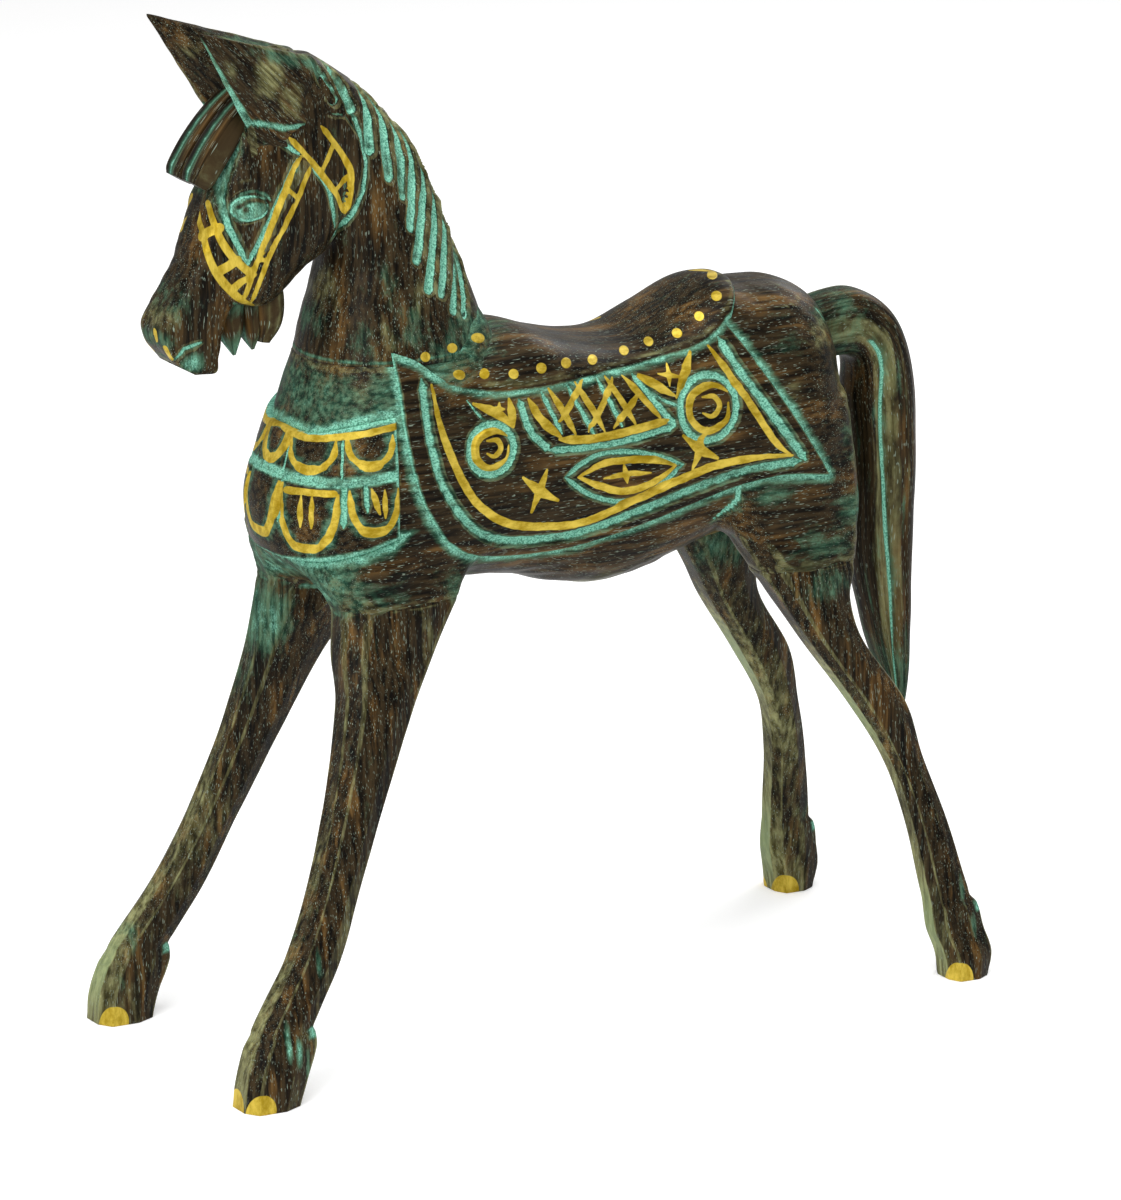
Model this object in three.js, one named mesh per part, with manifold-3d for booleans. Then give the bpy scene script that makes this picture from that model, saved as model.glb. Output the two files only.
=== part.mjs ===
// Carved wooden horse, built as a carver builds it: a body block, a neck and head block, four leg
// blocks and a tail block, glued on flat seams over hidden dowels and then carved as one figure.
// Millimetres, +Z up, the head looks towards -X, the horse's left side is -Y, the soles are on z = 0.

import * as THREE from 'three';
import { mergeVertices } from 'three/addons/utils/BufferGeometryUtils.js';
import Module from 'manifold-3d';

const wasm = await Module();
wasm.setup();

// Stance: how far the middle of each sole stands from the middle of the figure, along and across
const frontHoofReach = 192.5;
const hindHoofReach = 189.5;
const frontHoofSpread = 73;
const hindHoofSpread = 79.5;

// Glue seams, and the glue between two blocks
const frontSeamHeight = 219;
const hindSeamHeight = 206;
const neckSeamHeight = 336;
const tailSeamReach = 175;
const glueGap = 0.3;

// Dowels, half of each length in either block
const legDowelDiameter = 8;
const legDowelLength = 34;
const frontDowelPitch = 22;
const hindDowelPitch = 18;
const neckDowelDiameter = 12;
const neckDowelLength = 56;
const neckDowelPitch = 42;
const tailDowelDiameter = 8;
const tailDowelLength = 26;
const dowelPlay = 0.3;
const dowelEndChamfer = 1;
const dowelSides = 12;

// Body block
const bodyHalfWidth = 48;
const rumpReach = 156;
const rumpRound = 60;
const legInset = 12.5;
const frontLegPlace = -101.5;
const hindLegPlace = 121.5;

// Neck and head block
const pollPlace = -140;
const pollHeight = 452;
const headTilt = 30;
const earTipPlace = -197;
const earTipHeight = 500.5;
const earTipSpread = 26;
const forelockSpread = 6.5;
const beardWidth = 26;

// Relief: how far each carved form stands over the horse, or goes in
const blanketRelief = 1.6;
const saddleRelief = 2.6;
const collarRelief = 4;
const collarSideRelief = 2.2;
const grooveDepth = 1.2;
const grooveWidth = 4;
const maneFlutes = 10;
const fluteWidth = 6;
const fluteDepth = 2;
const tailGrooveShare = 0.2;

// Smooth value between stations: a cubic that passes through each and keeps its slope
function valueAt(stations, key, at) {
  const last = stations.length - 1;
  if (at <= stations[0].at) return stations[0][key];
  if (at >= stations[last].at) return stations[last][key];
  let i = 0;
  while (at > stations[i + 1].at) i += 1;
  const slope = (k) => {
    const before = stations[Math.max(k - 1, 0)];
    const after = stations[Math.min(k + 1, last)];
    return (after[key] - before[key]) / (after.at - before.at);
  };
  const low = stations[i];
  const high = stations[i + 1];
  const span = high.at - low.at;
  const t = (at - low.at) / span;
  const rise = t * t * (3 - 2 * t) * (high[key] - low[key]);
  const ease = t * (1 - t) * span * ((1 - t) * slope(i) - t * slope(i + 1));
  return low[key] + rise + ease;
}

// Evenly spaced values from low to high
function steps(low, high, count) {
  return Array.from({ length: count + 1 }, (_, i) => low + (high - low) * (i / count));
}

// Cosine and sine of a superellipse: rounder at power 2, squarer as the power grows
function squircle(angle, power) {
  const bend = (v) => Math.sign(v) * Math.abs(v) ** (2 / power);
  return [bend(Math.cos(angle)), bend(Math.sin(angle))];
}

// Points round one section; place gives the point for an angle
function ringOf(sides, place) {
  return Array.from({ length: sides }, (_, i) => place(((i + 0.5) / sides) * 2 * Math.PI));
}

// A solid from a closed mesh, turned right side out where its volume comes out negative
function solidOf(geometry) {
  const bare = geometry.clone();
  bare.deleteAttribute('normal');
  bare.deleteAttribute('uv');
  const merged = mergeVertices(bare, 1e-4);
  const index = new Uint32Array(merged.index.array);
  const make = () => new wasm.Manifold(new wasm.Mesh({
    numProp: 3,
    vertProperties: new Float32Array(merged.attributes.position.array),
    triVerts: index,
  }));
  const solid = make();
  if (solid.volume() > 0) return solid;
  for (let i = 0; i < index.length; i += 3) {
    const first = index[i];
    index[i] = index[i + 1];
    index[i + 1] = first;
  }
  return make();
}

function geometryOf(solid) {
  const mesh = solid.getMesh();
  const positions = new Float32Array(mesh.numVert * 3);
  for (let i = 0; i < mesh.numVert; i += 1) {
    for (let k = 0; k < 3; k += 1) positions[3 * i + k] = mesh.vertProperties[mesh.numProp * i + k];
  }
  const geometry = new THREE.BufferGeometry();
  geometry.setAttribute('position', new THREE.BufferAttribute(positions, 3));
  geometry.setIndex(new THREE.BufferAttribute(new Uint32Array(mesh.triVerts), 1));
  return geometry;
}

// Closed loft through rings of equal length, with a fan on either end
function loft(rings) {
  const count = rings[0].length;
  const points = rings.flat();
  const faces = [];
  for (let r = 0; r < rings.length - 1; r += 1) {
    for (let i = 0; i < count; i += 1) {
      const a = r * count + i;
      const b = r * count + ((i + 1) % count);
      faces.push(a, b, b + count, a, b + count, a + count);
    }
  }
  for (const r of [0, rings.length - 1]) {
    const hub = new THREE.Vector3();
    for (const point of rings[r]) hub.addScaledVector(point, 1 / count);
    for (let i = 0; i < count; i += 1) {
      const a = r * count + i;
      const b = r * count + ((i + 1) % count);
      if (r === 0) faces.push(points.length, b, a);
      else faces.push(points.length, a, b);
    }
    points.push(hub);
  }
  const geometry = new THREE.BufferGeometry();
  const positions = points.flatMap((point) => [point.x, point.y, point.z]);
  geometry.setAttribute('position', new THREE.Float32BufferAttribute(positions, 3));
  geometry.setIndex(faces);
  return solidOf(geometry);
}

// Plain cutters: a box between two corners, and all that lies under or over a level plane
const far = 600;
function block(low, high) {
  const size = high.map((v, i) => v - low[i]);
  const geometry = new THREE.BoxGeometry(...size);
  geometry.translate(...low.map((v, i) => v + size[i] / 2));
  return solidOf(geometry);
}
const below = (z) => block([-far, -far, -far], [far, far, z]);
const above = (z) => block([-far, -far, z], [far, far, far]);

// A side-view outline carried right across the figure
function panel(shape, segments = 4) {
  const geometry = new THREE.ExtrudeGeometry(shape, { depth: far, bevelEnabled: false, curveSegments: segments });
  geometry.translate(0, 0, -far / 2);
  geometry.rotateX(Math.PI / 2);
  return solidOf(geometry);
}

// A side-view line with a width, as the path of a gouge
function stroke(points, width) {
  const offset = (side) => points.map((point, i) => {
    const before = points[Math.max(i - 1, 0)];
    const after = points[Math.min(i + 1, points.length - 1)];
    const along = new THREE.Vector2(after[0] - before[0], after[1] - before[1]).normalize();
    return new THREE.Vector2(point[0] - (side * along.y * width) / 2, point[1] + (side * along.x * width) / 2);
  });
  return panel(new THREE.Shape([...offset(1), ...offset(-1).reverse()]));
}

// Barrel stations along x: top, bottom, height of the widest line, and the powers of the two halves
const barrel = [
  { at: -115, top: 322, bottom: 224, mid: 268, up: 2.4, low: 2.4 },
  { at: -60, top: 334, bottom: 221, mid: 268, up: 2.9, low: 2.3 },
  { at: -25, top: 335.5, bottom: 216, mid: 268, up: 3.1, low: 2.2 },
  { at: -2, top: 328.5, bottom: 209, mid: 267, up: 3.2, low: 2.1 },
  { at: 20, top: 323.5, bottom: 205, mid: 266, up: 3.2, low: 2.1 },
  { at: 41, top: 323.5, bottom: 207.5, mid: 266, up: 3.1, low: 2.1 },
  { at: 63, top: 333.5, bottom: 214, mid: 268, up: 2.7, low: 2.1 },
  { at: 84, top: 343.5, bottom: 221, mid: 271, up: 2.4, low: 2.1 },
  { at: 105, top: 343, bottom: 226, mid: 275, up: 2.2, low: 2.2 },
  { at: 126, top: 341, bottom: 231, mid: 278, up: 2.2, low: 2.2 },
  { at: 142, top: 335.5, bottom: 238, mid: 282, up: 2.2, low: 2.2 },
  { at: 154, top: 326, bottom: 250, mid: 284, up: 2.2, low: 2.2 },
];

function barrelLoft(grow) {
  const start = barrel[0].at;
  const places = steps(start, rumpReach - rumpRound, 14);
  for (const u of [0.3, 0.55, 0.75, 0.9, 0.97, 0.999]) places.push(rumpReach - rumpRound * (1 - u));
  return loft(places.map((x) => {
    const u = Math.max((x - rumpReach + rumpRound) / rumpRound, 0);
    const wide = (1 - u ** 2.3) ** (1 / 2.3) * bodyHalfWidth + grow;
    const tall = (1 - u ** 5) ** (1 / 5);
    const mid = valueAt(barrel, 'mid', x);
    return ringOf(24, (angle) => {
      const upper = Math.sin(angle) > 0;
      const reach = upper ? valueAt(barrel, 'top', x) - mid : mid - valueAt(barrel, 'bottom', x);
      const [c, s] = squircle(angle, valueAt(barrel, upper ? 'up' : 'low', x));
      return new THREE.Vector3(x, wide * c, mid + (reach * tall + grow) * s);
    });
  }));
}

// Forequarter and neck, one column of plan ovals up z: front and rear edge, place of the widest
// line, half width
const column = [
  { at: 216, front: -134, rear: -60, mid: -100, half: bodyHalfWidth - 22 },
  { at: 226, front: -143, rear: -50, mid: -100, half: bodyHalfWidth - 8 },
  { at: 240, front: -147.5, rear: -45, mid: -100, half: bodyHalfWidth - 1.5 },
  { at: 265, front: -151, rear: -40, mid: -98, half: bodyHalfWidth },
  { at: 290, front: -144, rear: -40, mid: -97, half: bodyHalfWidth - 1 },
  { at: 308, front: -137, rear: -38, mid: -96, half: bodyHalfWidth - 3 },
  { at: 320, front: -133, rear: -37, mid: -94, half: bodyHalfWidth - 5 },
  { at: 336, front: -129, rear: -36, mid: -90, half: bodyHalfWidth - 9.5 },
  { at: 352, front: -126, rear: -40.5, mid: -90, half: 34 },
  { at: 366, front: -121.5, rear: -45.5, mid: -90, half: 31 },
  { at: 386, front: -118, rear: -52.5, mid: -92, half: 27.5 },
  { at: 405, front: -122, rear: -59.5, mid: -97, half: 25 },
  { at: 431, front: -126, rear: -72.5, mid: -105, half: 22 },
  { at: 459, front: -135, rear: -98, mid: -122, half: 17 },
  { at: 474, front: -143, rear: -118.5, mid: -132, half: 12 },
  { at: 482, front: -147, rear: -131, mid: -139, half: 5 },
];

function columnLoft(grow) {
  const heights = steps(column[0].at, column[column.length - 1].at, 22);
  return loft(heights.map((z) => {
    const mid = valueAt(column, 'mid', z);
    const ahead = mid - valueAt(column, 'front', z) + grow;
    const behind = valueAt(column, 'rear', z) - mid + grow;
    const half = valueAt(column, 'half', z) + grow;
    return ringOf(20, (angle) => {
      const [c, s] = squircle(angle, 2.1);
      return new THREE.Vector3(mid + c * (c > 0 ? behind : ahead), half * s, z);
    });
  }));
}

// Hindquarter, a column of plan ovals up z
const hindquarter = [
  { at: 222, rear: rumpReach - 8, front: 90, half: bodyHalfWidth - 8 },
  { at: 232, rear: rumpReach - 3, front: 70, half: bodyHalfWidth - 2 },
  { at: 250, rear: rumpReach + 1, front: 60, half: bodyHalfWidth },
  { at: 275, rear: rumpReach + 1.5, front: 60, half: bodyHalfWidth },
  { at: 300, rear: rumpReach - 2, front: 65, half: bodyHalfWidth - 2 },
  { at: 318, rear: rumpReach - 10, front: 80, half: bodyHalfWidth - 8 },
  { at: 332, rear: rumpReach - 22, front: 90, half: bodyHalfWidth - 20 },
];

function hindquarterLoft(grow) {
  return loft(steps(222, 332, 9).map((z) => {
    const front = valueAt(hindquarter, 'front', z) - grow;
    const rear = valueAt(hindquarter, 'rear', z) + grow;
    const half = valueAt(hindquarter, 'half', z) + grow;
    return ringOf(18, (angle) => {
      const [c, s] = squircle(angle, 2.4);
      return new THREE.Vector3((front + rear) / 2 + (c * (rear - front)) / 2, half * s, z);
    });
  }));
}

// Leg stations up z. The leg's middle follows the straight line from its place on the seam to the
// middle of its sole, moved by bow along x and by drift across; length is front to rear.
const frontLeg = {
  place: frontLegPlace,
  seam: frontSeamHeight,
  reach: -frontHoofReach,
  spread: frontHoofSpread,
  pitch: frontDowelPitch,
  stations: [
    { at: 0, bow: 0, drift: 0, length: 29.5, half: 13.5 },
    { at: 12, bow: -2.7, drift: 2.5, length: 32, half: 13.5 },
    { at: 27, bow: -3.5, drift: 4, length: 33.5, half: 12.5 },
    { at: 33, bow: -4, drift: 4.5, length: 29.5, half: 11.5 },
    { at: 36, bow: -5.2, drift: 4.5, length: 27.5, half: 11 },
    { at: 65, bow: 1.7, drift: 4.8, length: 25.5, half: 10.5 },
    { at: 97, bow: 3.4, drift: 4.2, length: 23.5, half: 11 },
    { at: 138, bow: 3.2, drift: 3.5, length: 28, half: 12 },
    { at: 178, bow: 1.5, drift: 2.7, length: 38, half: 13.5 },
    { at: 200, bow: 0.4, drift: 0, length: 51, half: 14.5 },
    { at: 219, bow: 0, drift: 0, length: 61, half: 15.5 },
    { at: 235, bow: 2.5, drift: -3, length: 74, half: 16 },
    { at: 250, bow: 8.5, drift: -6, length: 86, half: 17 },
    { at: 285, bow: 11.5, drift: -12, length: 80, half: 18 },
  ],
};
const hindLeg = {
  place: hindLegPlace,
  seam: hindSeamHeight,
  reach: hindHoofReach,
  spread: hindHoofSpread,
  pitch: hindDowelPitch,
  stations: [
    { at: 0, bow: 0, drift: 0, length: 21.5, half: 12 },
    { at: 12, bow: 4.5, drift: 2, length: 26, half: 12 },
    { at: 24, bow: 5.5, drift: 1.5, length: 27, half: 11 },
    { at: 35, bow: 7.5, drift: 2, length: 25.5, half: 10.5 },
    { at: 39, bow: 7, drift: 2, length: 22.5, half: 9.8 },
    { at: 80, bow: 13.2, drift: 1, length: 18.5, half: 9.5 },
    { at: 108, bow: 14.2, drift: 0, length: 18, half: 10 },
    { at: 137, bow: 11, drift: 2.5, length: 26.5, half: 12 },
    { at: 170, bow: -0.5, drift: 4, length: 27.5, half: 14 },
    { at: 190, bow: -2, drift: 3, length: 36, half: 15 },
    { at: 206, bow: 0, drift: 3, length: 51, half: 15.5 },
    { at: 225, bow: -2.5, drift: -1.5, length: 66, half: 17 },
    { at: 245, bow: -5.5, drift: -5.5, length: 76, half: 18 },
    { at: 285, bow: -4, drift: -11.5, length: 65, half: 18 },
  ],
};

// Outline of a leg's cross-section: flat sides with long chamfers to a narrow front and rear edge,
// as shares of the length and of the half thickness
const legOutline = [
  [0, 0.42], [0.24, 0.95], [0.42, 1], [0.74, 1], [0.93, 0.72], [1, 0.4],
];

// Middle of a leg at a height
function legMiddle(leg, z) {
  const down = Math.max(1 - z / leg.seam, 0);
  const root = bodyHalfWidth - legInset;
  return {
    x: leg.place + (leg.reach - leg.place) * down + valueAt(leg.stations, 'bow', z),
    out: root + (leg.spread - root) * down + valueAt(leg.stations, 'drift', z),
  };
}

function legLoft(leg, side, grow) {
  const heights = [];
  leg.stations.forEach((station, i) => {
    heights.push(station.at);
    const next = leg.stations[i + 1];
    if (next && next.at - station.at > 20) heights.push((station.at + next.at) / 2);
  });
  return loft(heights.map((z) => {
    const { x, out } = legMiddle(leg, z);
    const length = valueAt(leg.stations, 'length', z) + 2 * grow;
    const half = valueAt(leg.stations, 'half', z) + grow;
    const corner = ([along, across], hand) => (
      new THREE.Vector3(x + (along - 0.5) * length, side * (out + half * across * hand), z)
    );
    return [
      ...legOutline.map((share) => corner(share, 1)),
      ...legOutline.slice().reverse().map((share) => corner(share, -1)),
    ];
  }));
}

// Head stations along a line from the poll down to the muzzle; front and back lie square to it,
// front towards the face
const head = [
  { at: -26, front: 12, back: -14, half: 9 },
  { at: -14, front: 22, back: -28, half: 16 },
  { at: 6, front: 25, back: -40, half: 20 },
  { at: 30, front: 23, back: -49, half: 22 },
  { at: 46, front: 21, back: -49, half: 22 },
  { at: 60, front: 17.5, back: -42, half: 20.5 },
  { at: 79, front: 14.5, back: -35.5, half: 17.5 },
  { at: 85, front: 14, back: -30, half: 16.5 },
  { at: 89, front: 13.8, back: -18, half: 15.5 },
  { at: 102, front: 13.8, back: -17.5, half: 14 },
  { at: 114, front: 13.5, back: -21, half: 13.5 },
  { at: 121, front: 8.5, back: -24, half: 12.5 },
  { at: 126, front: -3, back: -15, half: 10 },
];

// A point of the head: along its line, out towards the face, across
function headPoint(along, ahead, across) {
  const tilt = THREE.MathUtils.degToRad(headTilt);
  const x = pollPlace - along * Math.sin(tilt) - ahead * Math.cos(tilt);
  const z = pollHeight - along * Math.cos(tilt) + ahead * Math.sin(tilt);
  return new THREE.Vector3(x, across, z);
}

function headLoft() {
  return loft(head.map(({ at, front, back, half }) => ringOf(20, (angle) => {
    const [c, s] = squircle(angle, 2.8);
    return headPoint(at, (front + back) / 2 + ((front - back) / 2) * c, half * s);
  })));
}

// Ears: five corner lines run from the poll to a common tip, each straight but for a bulge that is
// widest half way. Corners and bulges are x, z and distance from the centre plane.
const earCorners = [
  { root: [-170, 454, 19], bulge: [-2.5, -1, 0.5] },
  { root: [-138, 449, 22], bulge: [0, 0, 3] },
  { root: [-132, 480, 10], bulge: [0, 0, 2] },
  { root: [-134, 475, 2], bulge: [0, 0, 2] },
  { root: [-158, 462, 3], bulge: [0, 0, 2] },
];

function ear(side) {
  const tip = [earTipPlace, earTipHeight, earTipSpread];
  return loft([0, 0.25, 0.5, 0.75, 0.97].map((t) => earCorners.map(({ root, bulge }) => {
    const [x, z, out] = root.map((v, i) => v + (tip[i] - v) * t + bulge[i] * 4 * t * (1 - t));
    return new THREE.Vector3(x, side * out, z);
  })));
}

// Forelock: two locks side by side on the forehead, as stations along each lock
const forelock = [
  { at: 0, x: -158, z: 466, deep: 4, half: 5 },
  { at: 1, x: -170, z: 452, deep: 5, half: 6 },
  { at: 2, x: -179, z: 438, deep: 5, half: 6.5 },
  { at: 3, x: -186, z: 427, deep: 4.5, half: 5.5 },
  { at: 4, x: -188.5, z: 421, deep: 2, half: 3.5 },
];

function lock(side) {
  return loft(forelock.map(({ x, z, deep, half }) => ringOf(8, (angle) => {
    const ahead = deep * Math.cos(angle);
    const across = side * forelockSpread + half * Math.sin(angle);
    return new THREE.Vector3(x - ahead * 0.8, across, z + ahead * 0.6);
  })));
}

// Beard under the jaw: two pointed locks and the round of the jaw, as x and z
const beardOutline = [
  [-177, 366], [-174.5, 357], [-170.5, 349], [-166.5, 343], [-164, 346], [-162, 349],
  [-159, 344], [-156, 346], [-151, 352], [-146, 360], [-148, 368], [-154, 380], [-170, 384],
];
const beardBevel = 3;

function beard() {
  const shape = new THREE.Shape(beardOutline.map(([x, z]) => new THREE.Vector2(x, z)));
  const depth = beardWidth - 2 * beardBevel;
  const geometry = new THREE.ExtrudeGeometry(shape, {
    depth, steps: 1, bevelThickness: beardBevel, bevelSize: beardBevel, bevelOffset: -beardBevel, bevelSegments: 2,
  });
  geometry.translate(0, 0, -depth / 2);
  geometry.rotateX(Math.PI / 2);
  return solidOf(geometry);
}

// Mane: gouged flutes that run from the crest down to a line of tips along the neck's side
const crest = [
  { at: 0, x: -132, z: 476 },
  { at: 1, x: -124, z: 479 },
  { at: 2, x: -102, z: 467 },
  { at: 3, x: -82, z: 447 },
  { at: 4, x: -66, z: 424 },
  { at: 5, x: -53, z: 399 },
];
const maneTips = [
  { at: 0, x: -130.5, z: 461.5 },
  { at: 1, x: -106.5, z: 434 },
  { at: 2, x: -89, z: 412 },
  { at: 3, x: -80, z: 384 },
  { at: 4, x: -70, z: 364 },
  { at: 5, x: -56.5, z: 351 },
];

// Half width of the neck's side at a place
function neckSide(x, z) {
  const mid = valueAt(column, 'mid', z);
  const reach = x > mid ? valueAt(column, 'rear', z) - mid : mid - valueAt(column, 'front', z);
  const share = Math.min(Math.abs(x - mid) / reach, 0.995);
  return valueAt(column, 'half', z) * (1 - share ** 2.1) ** (1 / 2.1);
}

function maneFlute(side, number) {
  const at = (number / (maneFlutes - 1)) * 5;
  const root = new THREE.Vector2(valueAt(crest, 'x', at), valueAt(crest, 'z', at));
  const tip = new THREE.Vector2(valueAt(maneTips, 'x', at), valueAt(maneTips, 'z', at));
  const along = tip.clone().sub(root).normalize();
  const shares = [0, 0.3, 0.65, 0.9, 1];
  return loft(shares.map((t) => {
    const middle = root.clone().lerp(tip, t);
    const width = fluteWidth * (0.25 + 0.25 * Math.min(t * 1.4, 1)) * (t === 1 ? 0.4 : 1);
    const place = (across, lift) => {
      const x = middle.x - along.y * across;
      const z = middle.y + along.x * across;
      return new THREE.Vector3(x, side * (neckSide(x, z) + lift), z);
    };
    const depth = fluteDepth * (t === 1 ? 0.2 : 1);
    return [place(-width, 1.5), place(0, -depth), place(width, 1.5), place(0, 9)];
  }));
}

// Tail, stations along its middle line from the dock over and down to the tip; turn is how far
// the section has turned from upright
const tail = [
  { at: 0, x: 140, z: 311, deep: 16, half: 14, turn: 0 },
  { at: 1, x: 160, z: 313, deep: 16, half: 14, turn: 0 },
  { at: 2, x: 174, z: 311, deep: 16.5, half: 15, turn: 14 },
  { at: 3, x: 184, z: 298, deep: 17, half: 16, turn: 45 },
  { at: 4, x: 188, z: 274, deep: 17, half: 17, turn: 78 },
  { at: 5, x: 190, z: 240, deep: 16, half: 17, turn: 90 },
  { at: 6, x: 190, z: 200, deep: 15, half: 16, turn: 92 },
  { at: 7, x: 194, z: 160, deep: 11, half: 13, turn: 95 },
  { at: 8, x: 199, z: 130, deep: 6.5, half: 9, turn: 98 },
  { at: 9, x: 203, z: 108, deep: 2, half: 3, turn: 98 },
];

function tailLoft(grow) {
  return loft(steps(0, 9, 15).map((at) => {
    const deep = valueAt(tail, 'deep', at) + grow;
    const half = valueAt(tail, 'half', at) + grow;
    const turn = THREE.MathUtils.degToRad(valueAt(tail, 'turn', at));
    return ringOf(20, (angle) => {
      const [c, s] = squircle(angle, 2.3);
      const groove = at > 2 && at < 9 && Math.abs(c) < 0.35 ? 1 - tailGrooveShare : 1;
      const x = valueAt(tail, 'x', at) + deep * c * Math.sin(turn);
      const z = valueAt(tail, 'z', at) + deep * c * Math.cos(turn);
      return new THREE.Vector3(x, half * s * groove, z);
    });
  }));
}

// Breast collar: two bands round the chest, from the blanket's edge on one side to the other.
// Heights are given for the angle round the chest, 0 at its front.
const collarEdges = [
  { at: 0, top: 303, upper: 286, lower: 282.5, bottom: 244.5 },
  { at: 28, top: 302.5, upper: 285, lower: 281.5, bottom: 244 },
  { at: 48, top: 306, upper: 285, lower: 281.5, bottom: 247 },
  { at: 70, top: 310, upper: 287, lower: 283.5, bottom: 252 },
  { at: 90, top: 312, upper: 289, lower: 285.5, bottom: 257 },
];

function collarBand(topKey, bottomKey) {
  return loft(steps(-88, 88, 16).map((degrees) => {
    const turn = THREE.MathUtils.degToRad(degrees);
    const top = valueAt(collarEdges, topKey, Math.abs(degrees));
    const bottom = valueAt(collarEdges, bottomKey, Math.abs(degrees));
    const relief = collarSideRelief + (collarRelief - collarSideRelief) * Math.cos(turn) ** 2;
    const place = (share, lift) => {
      const z = bottom + (top - bottom) * share;
      const mid = valueAt(column, 'mid', z);
      const x = mid - (mid - valueAt(column, 'front', z) + lift) * Math.cos(turn);
      return new THREE.Vector3(x, (valueAt(column, 'half', z) + lift) * Math.sin(turn), z);
    };
    return [
      place(0, -4), place(0, relief * 0.6), place(0.18, relief), place(0.8, relief * 0.9), place(1, relief * 0.6), place(1, -4),
    ];
  }));
}

// Saddle blanket, seen from the side: straight front edge, round lower corner, long hem that rises
// to a point behind, and a slanting rear edge
function blanketShape() {
  const shape = new THREE.Shape();
  shape.moveTo(-103, 350);
  shape.lineTo(-101, 310);
  shape.bezierCurveTo(-97, 272, -86, 240, -48, 236);
  shape.splineThru([[-20, 235], [3, 237], [35, 243.5], [69, 251.5], [102, 256], [131, 252]].map((p) => new THREE.Vector2(...p)));
  shape.lineTo(119, 271);
  shape.lineTo(78, 330);
  shape.lineTo(78, 350);
  return shape;
}

// Gouged lines inside the blanket's edge: along the front and the hem, and along the rear edge
const blanketGrooves = [
  [
    [-91, 329], [-88, 302], [-82, 278], [-68, 256], [-48, 244.5], [-21, 242], [1, 244.5], [26, 250.5],
    [59, 257.5], [84, 261.5], [115, 261.5],
  ],
  [[113, 263], [94, 290], [79, 311], [71, 323]],
];
const medallions = [
  { x: -55, z: 292, radius: 12 },
  { x: 63, z: 294, radius: 14.5 },
];

// Saddle: everything over a sagging skirt line that sweeps up behind the cantle
function saddleShape() {
  const shape = new THREE.Shape();
  shape.moveTo(-40, 352);
  shape.lineTo(-91, 333);
  shape.splineThru([[-78, 324], [-60, 319], [-40, 317], [-10, 318.5], [20, 320], [45, 322.5], [68, 326], [86, 333]].map((p) => new THREE.Vector2(...p)));
  shape.lineTo(97, 345);
  shape.lineTo(97, 360);
  shape.lineTo(-40, 360);
  return shape;
}

// The horse's barrel, neck and quarters together, all grown by the same amount
function trunk(grow) {
  return barrelLoft(grow).add(columnLoft(grow)).add(hindquarterLoft(grow));
}

function gouge(path, width) {
  return stroke(path, width).subtract(trunk(blanketRelief - grooveDepth));
}

function medallionGroove({ x, z, radius }) {
  const outer = new THREE.Shape().absarc(x, z, radius + grooveWidth / 2, 0, 2 * Math.PI);
  const inner = new THREE.Path().absarc(x, z, radius - grooveWidth / 2, 0, 2 * Math.PI);
  outer.holes.push(inner);
  return panel(outer, 9).subtract(trunk(blanketRelief - grooveDepth));
}

// The carved trunk with everything on it, before it is sawn at the seams
function carvedTrunk() {
  const blanket = panel(blanketShape()).intersect(trunk(blanketRelief));
  const saddle = panel(saddleShape()).intersect(trunk(saddleRelief));
  let carved = trunk(0).add(collarBand('top', 'upper')).add(collarBand('lower', 'bottom')).add(blanket);
  for (const path of blanketGrooves) carved = carved.subtract(gouge(path, grooveWidth));
  for (const medallion of medallions) carved = carved.subtract(medallionGroove(medallion));
  return carved.add(saddle);
}

// Dowels: a chamfered peg, and the hole that it is glued into
function peg(diameter, length) {
  const radius = diameter / 2;
  const end = length / 2;
  const profile = [
    [0, -end], [radius - dowelEndChamfer, -end], [radius, -end + dowelEndChamfer],
    [radius, end - dowelEndChamfer], [radius - dowelEndChamfer, end], [0, end],
  ];
  const geometry = new THREE.LatheGeometry(profile.map((p) => new THREE.Vector2(...p)), dowelSides);
  geometry.rotateX(Math.PI / 2);
  return geometry;
}

function hole(diameter, length) {
  const geometry = new THREE.CylinderGeometry(
    diameter / 2 + dowelPlay, diameter / 2 + dowelPlay, length + 2 * dowelPlay, dowelSides,
  );
  geometry.rotateX(Math.PI / 2);
  return geometry;
}

const alongX = (geometry) => geometry.rotateY(Math.PI / 2);

// Where every dowel goes: name, middle, and whether it lies along x
const dowels = [];
for (const [name, x] of [['neck_dowel_front', -1], ['neck_dowel_rear', 1]]) {
  const middle = [-86 + (x * neckDowelPitch) / 2, 0, neckSeamHeight];
  dowels.push({ name, middle, diameter: neckDowelDiameter, length: neckDowelLength });
}
for (const [quarter, leg] of [['front', frontLeg], ['hind', hindLeg]]) {
  for (const [hand, side] of [['left', -1], ['right', 1]]) {
    for (const [end, x] of [['fore', -1], ['aft', 1]]) {
      const { x: place, out } = legMiddle(leg, leg.seam - legDowelLength / 4);
      const middle = [place + (x * leg.pitch) / 2, side * out, leg.seam];
      const name = `dowel_${quarter}_${hand}_${end}`;
      dowels.push({ name, middle, diameter: legDowelDiameter, length: legDowelLength });
    }
  }
}
dowels.push({
  name: 'tail_dowel', middle: [tailSeamReach, 0, 311], lying: true, diameter: tailDowelDiameter, length: tailDowelLength,
});

function drilled(solid) {
  let result = solid;
  for (const { middle, diameter, length, lying } of dowels) {
    const geometry = lying ? alongX(hole(diameter, length)) : hole(diameter, length);
    result = result.subtract(solidOf(geometry.translate(...middle)));
  }
  return result;
}

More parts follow.
